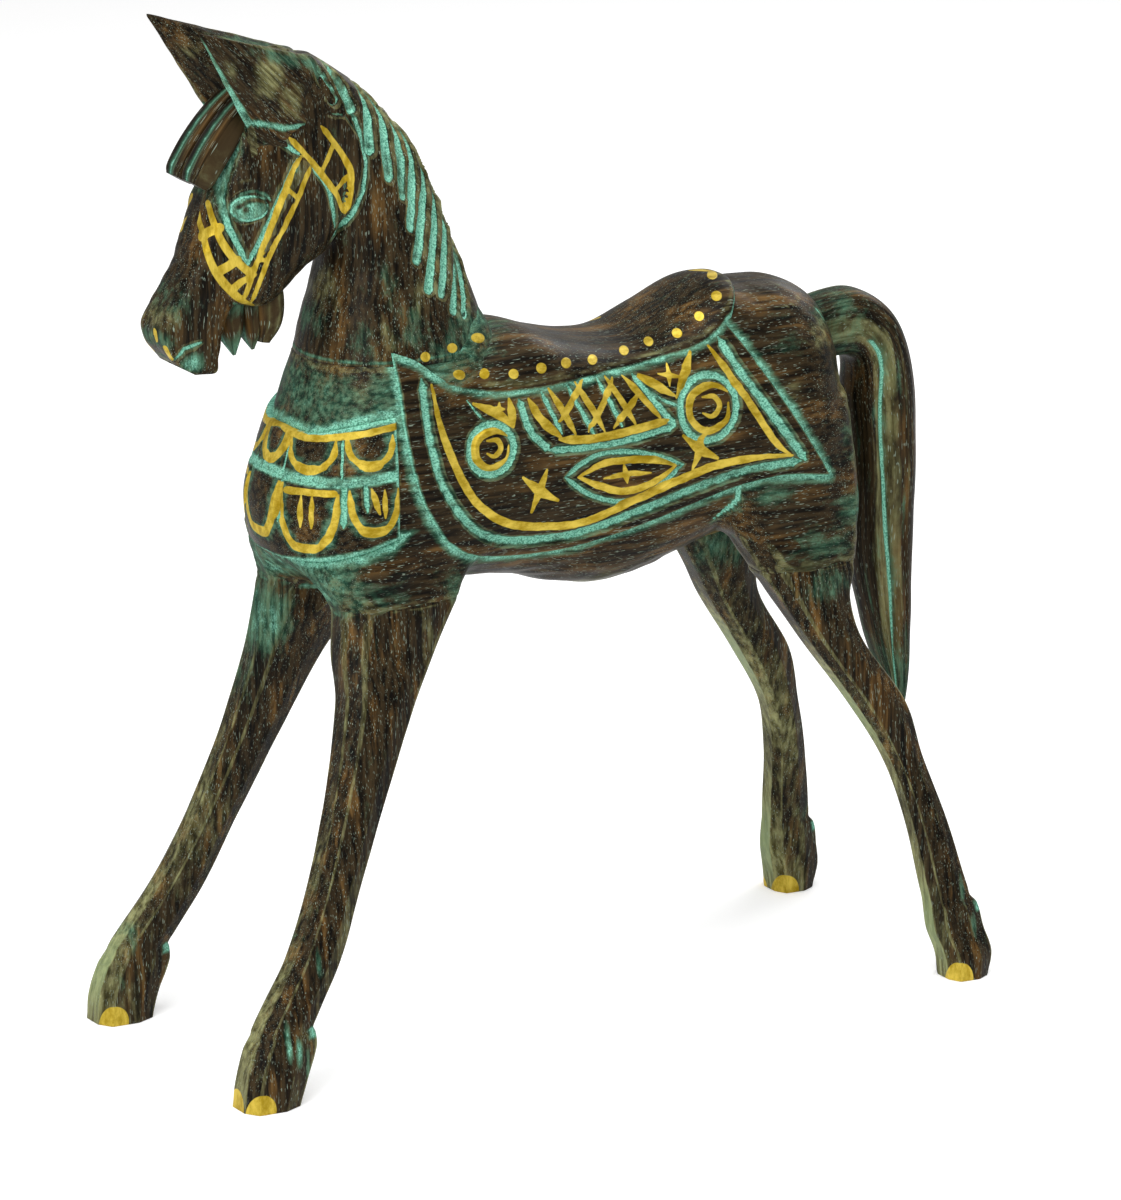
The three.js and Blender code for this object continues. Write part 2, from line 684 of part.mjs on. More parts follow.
// Saw cuts: the part of the figure on either side of each seam, half the glue back from it
const half = glueGap / 2;
const neckEnd = -34;
const neckRegion = (gap) => block([-far, -far, neckSeamHeight + gap], [neckEnd, far, far]);
const tailRegion = (gap) => block([tailSeamReach + gap, -far, -far], [far, far, far]);

function bodyBlock(trunkSolid) {
  let solid = trunkSolid.add(tailLoft(0).subtract(tailRegion(-half)));
  for (const leg of [frontLeg, hindLeg]) {
    for (const side of [-1, 1]) {
      solid = solid.subtract(legLoft(leg, side, glueGap).intersect(below(leg.seam + half)));
      solid = solid.add(legLoft(leg, side, 0).intersect(above(leg.seam + half)));
    }
  }
  return solid.subtract(neckRegion(-half));
}

function headBlock(trunkSolid) {
  let solid = trunkSolid.intersect(neckRegion(half)).add(headLoft()).add(beard());
  for (const side of [-1, 1]) {
    solid = solid.add(ear(side)).add(lock(side));
    for (let number = 0; number < maneFlutes; number += 1) solid = solid.subtract(maneFlute(side, number));
  }
  return solid;
}

// Finishes: the same dark stain on every block, paler where the wood is rubbed
const stain = (colour, roughness) => new THREE.MeshStandardMaterial({ color: colour, roughness, metalness: 0 });
const group = new THREE.Group();

function place(name, geometry, material) {
  const mesh = new THREE.Mesh(geometry, material);
  mesh.name = name;
  group.add(mesh);
  return mesh;
}

const trunkSolid = carvedTrunk();
place('body', geometryOf(drilled(bodyBlock(trunkSolid))), stain(0x3a2a1e, 0.45));
place('neck_and_head', geometryOf(drilled(headBlock(trunkSolid))), stain(0x35281d, 0.45));
for (const [hand, side] of [['left', -1], ['right', 1]]) {
  for (const [quarter, leg] of [['front', frontLeg], ['hind', hindLeg]]) {
    const solid = legLoft(leg, side, 0).intersect(below(leg.seam - half));
    place(`leg_${quarter}_${hand}`, geometryOf(drilled(solid)), stain(0x4a3a28, 0.45));
  }
}
place('tail', geometryOf(drilled(tailLoft(0).intersect(tailRegion(half)))), stain(0x3f3022, 0.45));
for (const { name, middle, diameter, length, lying } of dowels) {
  const geometry = geometryOf(solidOf(peg(diameter, length)));
  const mesh = place(name, geometry, stain(0xc9a777, 0.75));
  mesh.position.set(...middle);
  if (lying) mesh.rotation.y = Math.PI / 2;
}

// The origin is the middle of the figure's footprint box, on the ground
group.updateMatrixWorld(true);
const box = new THREE.Box3().setFromObject(group, true);
group.position.set(-(box.min.x + box.max.x) / 2, -(box.min.y + box.max.y) / 2, -box.min.z);
group.updateMatrixWorld(true);

export default group;
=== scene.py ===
# %% [markdown]
# # A carved wooden horse
# The real horse is carved from seven blocks that are glued over hidden dowels: body, neck with head,
# four legs and a tail. It is stained nearly black, brushed with a blue-green wash that stays in every
# cut, rubbed back on the edges, and its harness is lined with gold paint.
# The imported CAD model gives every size. This script gives the skin: the knife work, the harness
# carving and the paint. It works in millimetres and turns to metres only when a mesh is made.

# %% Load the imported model
import bpy
import numpy as np
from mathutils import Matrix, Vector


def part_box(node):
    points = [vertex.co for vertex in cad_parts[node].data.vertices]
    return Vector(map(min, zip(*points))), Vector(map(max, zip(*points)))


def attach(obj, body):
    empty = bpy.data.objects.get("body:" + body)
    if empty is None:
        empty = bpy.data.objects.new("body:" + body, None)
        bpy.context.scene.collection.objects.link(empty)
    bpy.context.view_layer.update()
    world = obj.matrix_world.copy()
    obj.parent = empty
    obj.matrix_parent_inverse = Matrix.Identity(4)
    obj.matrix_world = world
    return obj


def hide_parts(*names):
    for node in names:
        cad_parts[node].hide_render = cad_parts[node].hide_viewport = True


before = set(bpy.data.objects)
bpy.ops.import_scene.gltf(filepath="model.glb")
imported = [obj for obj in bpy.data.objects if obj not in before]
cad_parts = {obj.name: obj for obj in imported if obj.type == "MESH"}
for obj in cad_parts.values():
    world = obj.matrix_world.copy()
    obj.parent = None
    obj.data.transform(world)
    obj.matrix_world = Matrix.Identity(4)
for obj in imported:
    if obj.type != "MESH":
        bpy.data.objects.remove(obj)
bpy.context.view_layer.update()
tail_seam = 174.85  # where the body block ends on the drawing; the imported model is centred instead
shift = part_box("body")[1].x * 1000 - tail_seam

# %% [markdown]
# ## Camera, floor and light
# The photograph is taken a little from above, from in front of the horse's left shoulder, with a long
# lens and soft light all round on a white sweep. The camera is placed by direction and distance from
# a point in the middle of the horse, so the angle can be checked against the photograph at once.

# %% Camera
view_turn, view_rise, view_distance = np.radians(-30.689), np.radians(16.274), 4.0
view_target = np.array([(9.74 + shift) / 1000, 0.0, 0.19583])
view_back = np.array([
    np.sin(view_turn) * np.cos(view_rise),
    -np.cos(view_turn) * np.cos(view_rise),
    np.sin(view_rise),
])
camera = bpy.data.objects.new("camera", bpy.data.cameras.new("camera"))
camera.data.lens = 251.5
camera.data.sensor_width = 36
camera.data.clip_end = 30
camera.location = view_target + view_back * view_distance
camera.rotation_euler = (np.pi / 2 - view_rise, 0, view_turn)
bpy.context.collection.objects.link(camera)
bpy.context.scene.camera = camera
bpy.context.scene.view_settings.view_transform = "Standard"

# %% Lamps and world
world = bpy.data.worlds.new("studio")
world.use_nodes = True
world.node_tree.nodes["Background"].inputs["Color"].default_value = (1, 1, 1, 1)
world.node_tree.nodes["Background"].inputs["Strength"].default_value = 0.5
bpy.context.scene.world = world


def softbox(name, place, aim, size, power):
    """A square lamp at place that faces the point aim."""
    lamp = bpy.data.lights.new(name, "AREA")
    lamp.shape = "SQUARE"
    lamp.size = size
    lamp.energy = power
    holder = bpy.data.objects.new(name, lamp)
    holder.location = place
    toward = np.array(aim) - np.array(place)
    turn = np.arctan2(-toward[0], toward[1])
    rise = np.arctan2(toward[2], np.hypot(toward[0], toward[1]))
    holder.rotation_euler = (np.pi / 2 + rise, 0, turn)
    bpy.context.collection.objects.link(holder)


middle = (0, 0, 0.25)
softbox("top light", (-0.3, -0.5, 2.2), middle, 1.6, 36)
softbox("shoulder light", (-1.8, -1.2, 1.2), middle, 1.2, 22)
softbox("rear light", (1.6, 0.9, 1.3), middle, 1.0, 12)

# %% [markdown]
# ## Reading the tables
# A carver works from a side drawing and a plan. Here the drawing is a table of stations, with the same
# numbers as the CAD source, and every value between two stations lies on a smooth curve.

# %% Smooth tables and small shape helpers
def smooth_table(rows):
    """Columns of stations as curves. Between two stations the value follows the cubic that passes
    through both and leaves each with the slope between its two neighbours."""
    rows = np.array(rows, float)
    at = rows[:, 0]
    slope = np.gradient(rows, axis=0) / np.gradient(at)[:, None]
    fine = np.linspace(at[0], at[-1], 1500)
    i = np.clip(np.searchsorted(at, fine, side="right") - 1, 0, len(at) - 2)
    span = (at[i + 1] - at[i])[:, None]
    t = (fine[:, None] - at[i][:, None]) / span
    rise = t * t * (3 - 2 * t) * (rows[i + 1] - rows[i])
    ease = t * (1 - t) * span * ((1 - t) * slope[i] - t * slope[i + 1])
    values = rows[i] + rise + ease
    return lambda where, column: np.interp(where, fine, values[:, column])


def section_distance(across, along, half, reach, power):
    """Rough distance outside an oval: the way from its middle, times one less the share of that way
    at which the oval is met. The oval is |across/half|^power + |along/reach|^power = 1."""
    share = (np.abs(across / half) ** power + np.abs(along / reach) ** power) ** (1 / power)
    return np.hypot(across, along) * (1 - 1 / np.maximum(share, 1e-3))


def blend_min(a, b, width):
    """The lower of two distances, rounded where they differ by less than width."""
    h = np.clip(0.5 + 0.5 * (b - a) / width, 0, 1)
    return b + (a - b) * h - width * h * (1 - h)


def blend_max(a, b, width):
    """The higher of two distances, rounded in the same way."""
    return -blend_min(-a, -b, width)


def ramp(value, low, high):
    """0 below low, 1 above high, an S curve between."""
    t = np.clip((value - low) / (high - low), 0, 1)
    return t * t * (3 - 2 * t)


def xyz(x, y, z):
    """Points from three coordinates, each spread over the whole grid."""
    return np.stack(np.broadcast_arrays(x, y, z), -1)


def full_turn(count):
    """Angles once round, as the columns of a grid."""
    return np.linspace(0, 2 * np.pi, count, endpoint=False)[None, :]


# %% The horse's tables
half_width, chest_start = 48.0, -115
rump_reach, rump_round = 156.0, 60.0  # where the barrel ends, and over what length it closes
barrel = smooth_table([
    (-115, 322, 238, 268, 2.4, 2.4), (-90, 328, 226, 268, 2.6, 2.4), (-60, 334, 221, 268, 2.9, 2.3),
    (-25, 335.5, 216, 268, 3.1, 2.2), (-2, 328.5, 209, 267, 3.2, 2.1), (20, 323.5, 205, 266, 3.2, 2.1),
    (41, 323.5, 207.5, 266, 3.1, 2.1),
    (63, 333.5, 214, 268, 2.7, 2.1), (84, 343.5, 221, 271, 2.4, 2.1), (105, 343, 226, 275, 2.2, 2.2),
    (126, 341, 231, 278, 2.2, 2.2), (142, 335.5, 238, 282, 2.2, 2.2), (154, 326, 250, 284, 2.2, 2.2),
])
column = smooth_table([
    (216, -108, -60, -100, 12), (226, -124, -50, -100, 26), (240, -143.5, -45, -100, 44),
    (265, -151, -40, -98, 48), (290, -144, -40, -97, 47), (308, -137, -38, -96, 45),
    (320, -133, -37, -94, 43), (336, -128.5, -36, -90, 38.5), (352, -125.5, -40.5, -90, 34),
    (366, -121, -45.5, -90, 31), (386, -118, -52.5, -92, 27), (405, -122, -59.5, -97, 24),
    (431, -126, -72.5, -105, 21), (459, -135, -98, -122, 17), (474, -143, -118.5, -132, 12),
    (482, -147, -131, -139, 5),
])
quarter = smooth_table([
    (222, 148, 90, 40), (232, 152, 70, 46), (250, 156, 60, 48), (275, 156.5, 60, 48),
    (300, 153, 65, 46), (318, 145, 80, 40), (332, 133, 90, 28),
])
front_leg = smooth_table([
    (0, 0, 0, 29.5, 13.5), (12, -2.7, 2.5, 32, 13.5), (27, -3.5, 4, 33.5, 12.5), (33, -4, 4.5, 29.5, 11.5),
    (36, -5.2, 4.5, 27.5, 11), (41, -4.1, 4.5, 27.2, 10.9), (65, 1.7, 4.8, 25.5, 10.5),
    (97, 3.4, 4.2, 23.5, 11),
    (138, 3.2, 3.5, 28, 12), (178, 1.5, 2.7, 38, 13.5), (200, 0.4, 0, 51, 14.5), (219, 0, 0, 61, 15.5),
    (235, 2.5, -3, 74, 16), (250, 8.5, -6, 86, 17), (285, 11.5, -12, 80, 18),
])
hind_leg = smooth_table([
    (0, 0, 0, 21.5, 12), (12, 4.5, 2, 26, 12), (24, 5.5, 1.5, 27, 11), (35, 7.5, 2, 25.5, 10.5),
    (39, 7, 2, 22.5, 9.8), (44, 7.8, 1.9, 22.0, 9.8), (80, 13.2, 1, 18.5, 9.5), (108, 14.2, 0, 18, 10),
    (137, 11, 2.5, 26.5, 12),
    (170, -0.5, 4, 27.5, 14), (190, -2, 3, 36, 15), (206, 0, 3, 51, 15.5), (225, -2.5, -1.5, 66, 17),
    (245, -5.5, -5.5, 76, 18), (285, -4, -11.5, 65, 18),
])
column_foot, column_top = 216, 484
quarter_foot, quarter_top = 222, 332
leg_top = 285
leg_plans = {
    "front": dict(read=front_leg, place=-101.5, seam=219.0, reach=-192.5, spread=73.0),
    "hind": dict(read=hind_leg, place=121.5, seam=206.0, reach=189.5, spread=79.5),
}

# %% [markdown]
# ## The figure as one distance
# Barrel, shoulder column, hindquarter and legs run into each other without a line on the real horse,
# because they are carved after gluing. Joining meshes would leave a crease at each crossing. Instead
# every form gives a distance, the distances are blended, and the skin is found where the blend is
# zero. That gives the soft hollows between leg and belly which a knife leaves.

# %% Distances of the forms
def barrel_distance(x, y, z):
    """Ovals across x from a top and a bottom curve; both close towards the rump as superellipses, and
    the chest before x = -85 grows narrower by up to 14 %."""
    mid = barrel(x, 3)
    end = np.clip((x - rump_reach + rump_round) / rump_round, 0, 0.999)
    wide = half_width * (1 - end ** 2.3) ** (1 / 2.3) * (1 - 0.14 * np.clip((-85 - x) / 30, 0, 1) ** 2)
    tall = (1 - end ** 5) ** 0.2
    upper = z > mid
    reach = np.where(upper, barrel(x, 1) - mid, mid - barrel(x, 2)) * tall
    power = np.where(upper, barrel(x, 4), barrel(x, 5))
    oval = section_distance(y, z - mid, wide, reach, power)
    return np.maximum(oval, np.maximum(chest_start - x, x - rump_reach))


def column_distance(x, y, z):
    """Plan ovals up z, with a front and a rear reach from the place of the widest line."""
    mid = column(z, 3)
    reach = np.where(x > mid, column(z, 2) - mid, mid - column(z, 1))
    oval = section_distance(y, x - mid, column(z, 4), reach, 2.1)
    return np.maximum(oval, np.maximum(column_foot - z, z - column_top))


def quarter_distance(x, y, z):
    """Plan ovals up z between a rear and a fore line."""
    rear, fore = quarter(z, 1), quarter(z, 2)
    oval = section_distance(y, x - (rear + fore) / 2, quarter(z, 3), (rear - fore) / 2, 2.4)
    return np.maximum(oval, np.maximum(quarter_foot - z, z - quarter_top))


# A leg's section from front to rear, in shares of its length and of its half thickness.
leg_outline = np.array([(0, 0), (0, .42), (.15, .92), (.62, 1), (.94, .7), (1, .4), (1, 0)])


def leg_middle(plan, z):
    """Middle of a leg at a height: a straight line from root to sole, plus the offsets of its table."""
    down = np.clip(1 - z / plan["seam"], 0, 1)
    root = half_width - 12.5
    x = plan["place"] + (plan["reach"] - plan["place"]) * down + plan["read"](z, 1)
    return x, root + (plan["spread"] - root) * down + plan["read"](z, 2)


def leg_facets(plan, x, y, z):
    """Flat knife facets: the distance beyond each edge line of the outline, from front to rear."""
    middle_x, out = leg_middle(plan, z)
    length, half = plan["read"](z, 3), plan["read"](z, 4)
    u, v = x - middle_x, np.abs(y - out)
    facets = []
    for (a1, c1), (a2, c2) in zip(leg_outline[:-1], leg_outline[1:]):
        run, rise = (a2 - a1) * length, (c2 - c1) * half
        facets.append((-rise * (u - (a1 - 0.5) * length) + run * (v - c1 * half)) / np.hypot(run, rise))
    return facets


def leg_distance(plan, x, y, z, soft=1.6):
    """The highest of the facets' distances, with the corners between them eased by soft."""
    result = None
    for facet in leg_facets(plan, x, y, z):
        result = facet if result is None else blend_max(result, facet, soft)
    return np.maximum(result, np.maximum(-z, z - leg_top))


def trunk_distance(x, y, z):
    """Barrel, column and hindquarter, eased into each other over 3 mm."""
    y = np.abs(y)
    trunk = blend_min(barrel_distance(x, y, z), column_distance(x, y, z), 3)
    return blend_min(trunk, quarter_distance(x, y, z), 3)


def leg_blend(x, z):
    """How softly a leg runs into the trunk: 8 mm, and 26 mm where the chest runs down the front legs."""
    return 8 + 18 * (1 - ramp(z, 230, 256)) * (1 - ramp(x, -110, -88))


def figure_distance(x, y, z):
    """The trunk blended with both pairs of legs; the left and right halves are the same."""
    side = np.abs(y)
    whole = trunk_distance(x, side, z)
    for plan in leg_plans.values():
        whole = blend_min(whole, leg_distance(plan, x, side, z), leg_blend(x, z))
    return whole


# %% [markdown]
# ## Finding the skin
# Every part of the skin is a grid of rays that come in from outside. A ray steps inwards until the
# distance turns negative, then halves the step it is in. The grid of meeting points is the surface,
# so rows and columns can follow an edge of the carving, which keeps that edge clean.

# %% Rays, normals and meshes
def skin(distance, start, inward, reach, count=16):
    """Where rays meet a form: step in until the distance is negative, then halve 11 times."""
    low = np.zeros(start.shape[:-1])
    reach = reach + low
    step = reach / count
    found = np.zeros(low.shape, bool)
    for k in range(1, count + 1):
        p = start + inward * (k * step)[..., None]
        inside = distance(p[..., 0], p[..., 1], p[..., 2]) < 0
        low = np.where(~found & ~inside, k * step, low)
        found |= inside
    high = np.minimum(low + step, reach)
    for _ in range(11):
        half = (low + high) / 2
        p = start + inward * half[..., None]
        inside = distance(p[..., 0], p[..., 1], p[..., 2]) < 0
        high = np.where(inside, half, high)
        low = np.where(inside, low, half)
    return start + inward * high[..., None]


def slope_along(points, axis, wrap):
    """Difference of the neighbours before and after each point of a grid."""
    if wrap:
        return np.roll(points, -1, axis) - np.roll(points, 1, axis)
    return np.gradient(points, axis=axis)


def grid_normals(points, outward, wrap=False):
    """Across the two slopes of a grid, on the side of the direction outward."""
    normal = np.cross(slope_along(points, 0, False), slope_along(points, 1, wrap))
    normal /= np.maximum(np.linalg.norm(normal, axis=-1, keepdims=True), 1e-9)
    side = np.sign((normal * outward).sum(-1, keepdims=True))
    return normal * np.where(side == 0, 1, side)


def cavity_of(points, normal, step, wrap=False):
    """How far the neighbours step cells away stand over a place, in mm: more than 0 in a hollow."""
    total = 0
    for axis in (0, 1):
        for way in (-step, step):
            moved = np.roll(points, way, axis)
            if not (wrap and axis == 1):
                index = np.clip(np.arange(points.shape[axis]) - way, 0, points.shape[axis] - 1)
                moved = np.take(points, index, axis)
            total = total + ((moved - points) * normal).sum(-1)
    return total / 4


def grid_faces(rows, cols, wrap=False):
    """Quads of a grid whose points are numbered row by row; wrap joins the last column to the first."""
    number = np.arange(rows * cols).reshape(rows, cols)
    if wrap:
        number = np.concatenate([number, number[:, :1]], 1)
    quads = np.stack([number[:-1, :-1], number[:-1, 1:], number[1:, 1:], number[1:, :-1]], -1)
    return quads.reshape(-1, 4)


def fan_faces(loop, hub):
    """Triangles from a closed loop of point numbers to one hub."""
    loop = np.asarray(loop)
    return np.stack([loop, np.roll(loop, -1), np.full(len(loop), hub)], -1)


def volume_of(points, quads, tris):
    """Sum of the signed pyramids from the origin to each triangle: below 0 when faces look inwards."""
    split = np.concatenate([quads[:, [0, 1, 2]], quads[:, [0, 2, 3]], tris])
    a, b, c = (points[split[:, k]] for k in range(3))
    return (a * np.cross(b, c)).sum() / 6


pieces = []
slots = {"body": "body_wood", "neck_and_head": "head_wood", "tail": "tail_wood"}


def make_piece(name, node, points, quads, tris, marks):
    """A closed mesh object in metres from points in mm, with one attribute per entry of marks."""
    slot = slots.get(node, "leg_wood")
    mesh = bpy.data.meshes.new(name)
    inside_out = volume_of(points, quads, tris) < 0
    loops = [faces[:, ::-1] if inside_out else faces for faces in (quads, tris) if len(faces)]
    sizes = np.concatenate([np.full(len(faces), faces.shape[1]) for faces in loops])
    mesh.vertices.add(len(points))
    mesh.vertices.foreach_set("co", ((points + (shift, 0, 0)) / 1000).astype(np.float32).ravel())
    mesh.loops.add(int(sizes.sum()))
    corners = np.concatenate([faces.ravel() for faces in loops]).astype(np.int32)
    mesh.loops.foreach_set("vertex_index", corners)
    mesh.polygons.add(len(sizes))
    mesh.polygons.foreach_set("loop_start", (np.cumsum(sizes) - sizes).astype(np.int32))
    mesh.update(calc_edges=True)
    mesh.polygons.foreach_set("use_smooth", np.ones(len(sizes), bool))
    for key, values in marks.items():
        values = np.asarray(values, np.float32)
        kind = "FLOAT_VECTOR" if values.ndim > 1 and values.shape[-1] == 3 else "FLOAT"
        layer = mesh.attributes.new(key, kind, "POINT")
        layer.data.foreach_set("vector" if kind == "FLOAT_VECTOR" else "value", values.ravel())
    piece = bpy.data.objects.new(name, mesh)
    bpy.context.collection.objects.link(piece)
    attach(piece, "root")
    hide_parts(node)
    piece["slot"] = slot
    pieces.append(piece)
    print(f"{name}: {len(points)} points, {int((sizes - 2).sum())} triangles")
    return piece


# %% Lines drawn on the carving
def bend(points, count=10):
    """A smooth line through a few drawn points (Catmull-Rom), count short steps between two."""
    p = np.array(points, float)
    q = np.concatenate([2 * p[:1] - p[1:2], p, 2 * p[-1:] - p[-2:-1]])
    t = np.linspace(0, 1, count, endpoint=False)[:, None]
    rows = []
    for a, b, c, d in zip(q[:-3], q[1:-2], q[2:-1], q[3:]):
        curve, twist = a - 2.5 * b + 2 * c - d / 2, 1.5 * (b - c) + (d - a) / 2
        rows.append(b + t / 2 * (c - a) + t * t * curve + t ** 3 * twist)
    rows.append(p[-1:])
    return np.concatenate(rows)


def line_distance(x, z, line):
    """Distance in the side view to the nearest piece of a line, and the share of the line there."""
    best, where = np.full(x.shape, 1e9), np.zeros(x.shape)
    lengths = np.hypot(*np.diff(line, axis=0).T)
    total, done = lengths.sum(), 0
    for (x1, z1), (x2, z2), size in zip(line[:-1], line[1:], lengths):
        size = max(size, 1e-9)
        ux, uz = (x2 - x1) / size, (z2 - z1) / size
        t = np.clip((x - x1) * ux + (z - z1) * uz, 0, size)
        gap = np.hypot(x - x1 - t * ux, z - z1 - t * uz)
        near = gap < best
        best = np.where(near, gap, best)
        where = np.where(near, (done + t) / total, where)
        done += size
    return best, where


def inside_of(x, z, outline):
    """True inside a closed outline: an odd number of its edges lies to one side."""
    odd = np.zeros(x.shape, bool)
    for (x1, z1), (x2, z2) in zip(outline, np.roll(outline, -1, axis=0)):
        if z1 == z2:
            continue
        cross = (z1 > z) != (z2 > z)
        odd ^= cross & (x < (x2 - x1) * (z - z1) / (z2 - z1) + x1)
    return odd


def hand(x, z, size=0.35, period=7.0):
    """The waver of a hand-led tool: a few crossed sine waves, in mm."""
    a = np.sin(x * 2.1 / period + 1.7 * np.sin(z * 1.3 / period + 0.6))
    b = np.sin(z * 2.7 / period + 1.3 * np.sin(x * 1.7 / period + 2.1))
    return size * (a * b + 0.4 * np.sin((x + z) * 6.1 / period) * a)


no_gold = 9.0  # mm from the nearest gold, written where there is none


class Marks:
    """What the tools did to each place of a grid: cut depth, distance to gold paint and wash."""

    def __init__(self, x, z):
        self.x, self.z = x + hand(z, x, 0.16, 5), z + hand(x, z, 0.16, 5)
        self.cut = np.zeros(x.shape)
        self.gold = np.full(x.shape, no_gold)
        self.wash = np.zeros(x.shape)
        self.rub_and_shade = np.zeros(x.shape)

    def soak(self, amount):
        """Wash of this amount where there is less so far."""
        self.wash = np.maximum(self.wash, amount)

    def gild(self, gap):
        """Gold wherever gap, the distance from its edge, is below 0."""
        self.gold = np.minimum(self.gold, gap)

    def gouge(self, line, width, depth, wash=1.0, halo=1.6, taper=0.3):
        """A round-bottomed channel that narrows to its ends; wash fills it and a halo round it."""
        gap, t = line_distance(self.x, self.z, np.asarray(line, float))
        half = width / 2 * np.minimum(1, 0.25 + np.minimum(t, 1 - t) / taper) if taper else width / 2
        self.cut = np.minimum(self.cut, -depth * np.clip(1 - (gap / half) ** 2, 0, 1))
        self.soak(wash * (1 - ramp(gap, half * 0.4, half * 1.02)))
        self.soak(0.42 * wash * (1 - ramp(gap, half, half + halo)))

    def paint(self, line, width, taper=0.0):
        """A brushed gold line; taper is the share of its length over which either end thins out."""
        gap, t = line_distance(self.x, self.z, np.asarray(line, float))
        thin = np.minimum(1, 0.3 + 0.7 * np.minimum(t, 1 - t) / taper) if taper else 1
        self.gild(gap - width / 2 * thin)

    def stroke(self, points, path, width, reach=12):
        """A gold line drawn as it is seen along the sight line from before the horse's shoulder:
        distances square to it, and less than reach away from the path along it."""
        path, sight = bend(path), np.array([-0.8, -0.6, 0])
        for a, b in zip(path[:-1], path[1:]):
            away, step = points - a, (b - a) - ((b - a) @ sight) * sight
            deep = away @ sight
            away = away - deep[..., None] * sight
            t = np.clip((away @ step) / (step @ step), 0, 1)
            gap = np.linalg.norm(away - t[..., None] * step, axis=-1)
            self.gild(np.where(np.abs(deep) < reach, gap - width / 2, no_gold))

    def patch(self, x, z, reach, strength, tall=1.0):
        """A soft patch: reach mm to either side, and tall times that up and down."""
        far = np.hypot(self.x - x, (self.z - z) / tall) / reach
        return strength * (1 - ramp(far, 0.2, 1))

    def brush(self, *places):
        """Patches of wash."""
        for place in places:
            self.soak(self.patch(*place))

    def wear(self, *places):
        """Patches rubbed down to pale wood."""
        for place in places:
            self.rub_and_shade = np.maximum(self.rub_and_shade, self.patch(*place))

    def handle(self):
        """The wash and the wear that run over the seams from block to block."""
        self.brush(*brushed)
        self.wear(*worn)


def carve(m, gouges, gold):
    """Bent gouge lines with their tool, and bent gold lines with their brush."""
    for line, *tool in gouges:
        m.gouge(bend(line), *tool)
    for line, *brush in gold:
        m.paint(bend(line), *brush)


def capped(points):
    """A grid that wraps round, closed by a fan to the middle of its first and of its last row."""
    rows, cols = points.shape[:2]
    hubs = np.stack([points[0].mean(0), points[-1].mean(0)])
    first, last = np.arange(cols)[::-1], np.arange(cols) + (rows - 1) * cols
    tris = np.concatenate([fan_faces(first, rows * cols), fan_faces(last, rows * cols + 1)])
    return np.concatenate([points.reshape(-1, 3), hubs]), grid_faces(rows, cols, True), tris


rim_steps = [(0.35, -0.5), (0.5, -1.4), (0.3, -4.5)]


def rim_numbers(rows, cols):
    """Point numbers once round the edge of a grid."""
    number = np.arange(rows * cols).reshape(rows, cols)
    return np.concatenate([number[0, :-1], number[:-1, -1], number[-1, :0:-1], number[:0:-1, 0]])


def skirted(points, normal, hub):
    """An open grid closed by a skirt: rings beyond the rim, each a step outwards and a step down
    along the normal, then a fan to the hub inside the wood. Returns the source of each point too,
    so that every new point takes the marks of the rim point it comes from."""
    rows, cols = points.shape[:2]
    rim = rim_numbers(rows, cols)
    flat, up = points.reshape(-1, 3), normal.reshape(-1, 3)[rim]
    along = np.roll(flat[rim], -1, 0) - np.roll(flat[rim], 1, 0)
    away = np.cross(along, up)
    away /= np.maximum(np.linalg.norm(away, axis=1, keepdims=True), 1e-9)
    centre = flat.mean(0)
    away *= np.sign(((flat[rim] - centre) * away).sum())
    rings = [flat[rim] + away * out + up * down for out, down in rim_steps]
    count, ring = len(flat), len(rim)
    numbers = [rim] + [count + k * ring + np.arange(ring) for k in range(len(rings))]
    quads = [grid_faces(rows, cols)]
    for inner, outer in zip(numbers[:-1], numbers[1:]):
        quads.append(np.stack([np.roll(inner, -1), inner, outer, np.roll(outer, -1)], -1))
    last = numbers[-1]
    tris = np.stack([np.roll(last, -1), last, np.full(ring, count + len(rings) * ring)], -1)
    source = np.concatenate([np.arange(count)] + [rim] * len(rings) + [rim[:1]])
    return np.concatenate([flat] + rings + [[hub]]), np.concatenate(quads), tris, source


def attributes(marks, hollow, grain):
    """What the finish reads at each point of a mesh."""
    return {
        "gold_gap": marks.gold.ravel(), "wash": marks.wash.ravel(), "wear_and_shade": marks.rub_and_shade.ravel(),
        "hollow": hollow.ravel(), "grain": grain.reshape(-1, 3),
    }


def round_piece(name, node, points, normal, marks, grain, lift=0.0, step=2):
    """A grid that wraps round a form: lifted by its cuts, capped at both ends, and made a piece."""
    shaped = points + normal * (marks.cut + lift)[..., None]
    values = attributes(marks, cavity_of(shaped, normal, step, True), grain)
    values = {key: np.concatenate([value, value[:1], value[-1:]]) for key, value in values.items()}
    return make_piece(name, node, *capped(shaped), values)


def patch_piece(name, points, normal, marks, hub, lift, mirror=None):
    """A grid that lies on the body, with its rim let into the wood. Its mirror image across the middle
    of the horse is a second piece with the marks of the first."""
    shaped = points + normal * (marks.cut + lift)[..., None]
    values = attributes(marks, cavity_of(shaped, normal, 2), points)
    closed, quads, tris, source = skirted(shaped, normal, hub)
    values = {key: value[source] for key, value in values.items()}
    make_piece(name, "body", closed, quads, tris, values)
    if mirror:
        values["grain"] = values["grain"] * (1, -1, 1)
        make_piece(mirror, "body", closed * (1, -1, 1), quads, tris, values)


# %% [markdown]
# ## Body block
# The body is one block with the stubs of the legs and of the tail on it. Its skin is a capsule of rays
# round a line through the barrel: half a globe before, straight rings along the barrel, half a globe
# behind. The neck and the leg blocks are sawn off it at flat seams, so the distance is cut there.

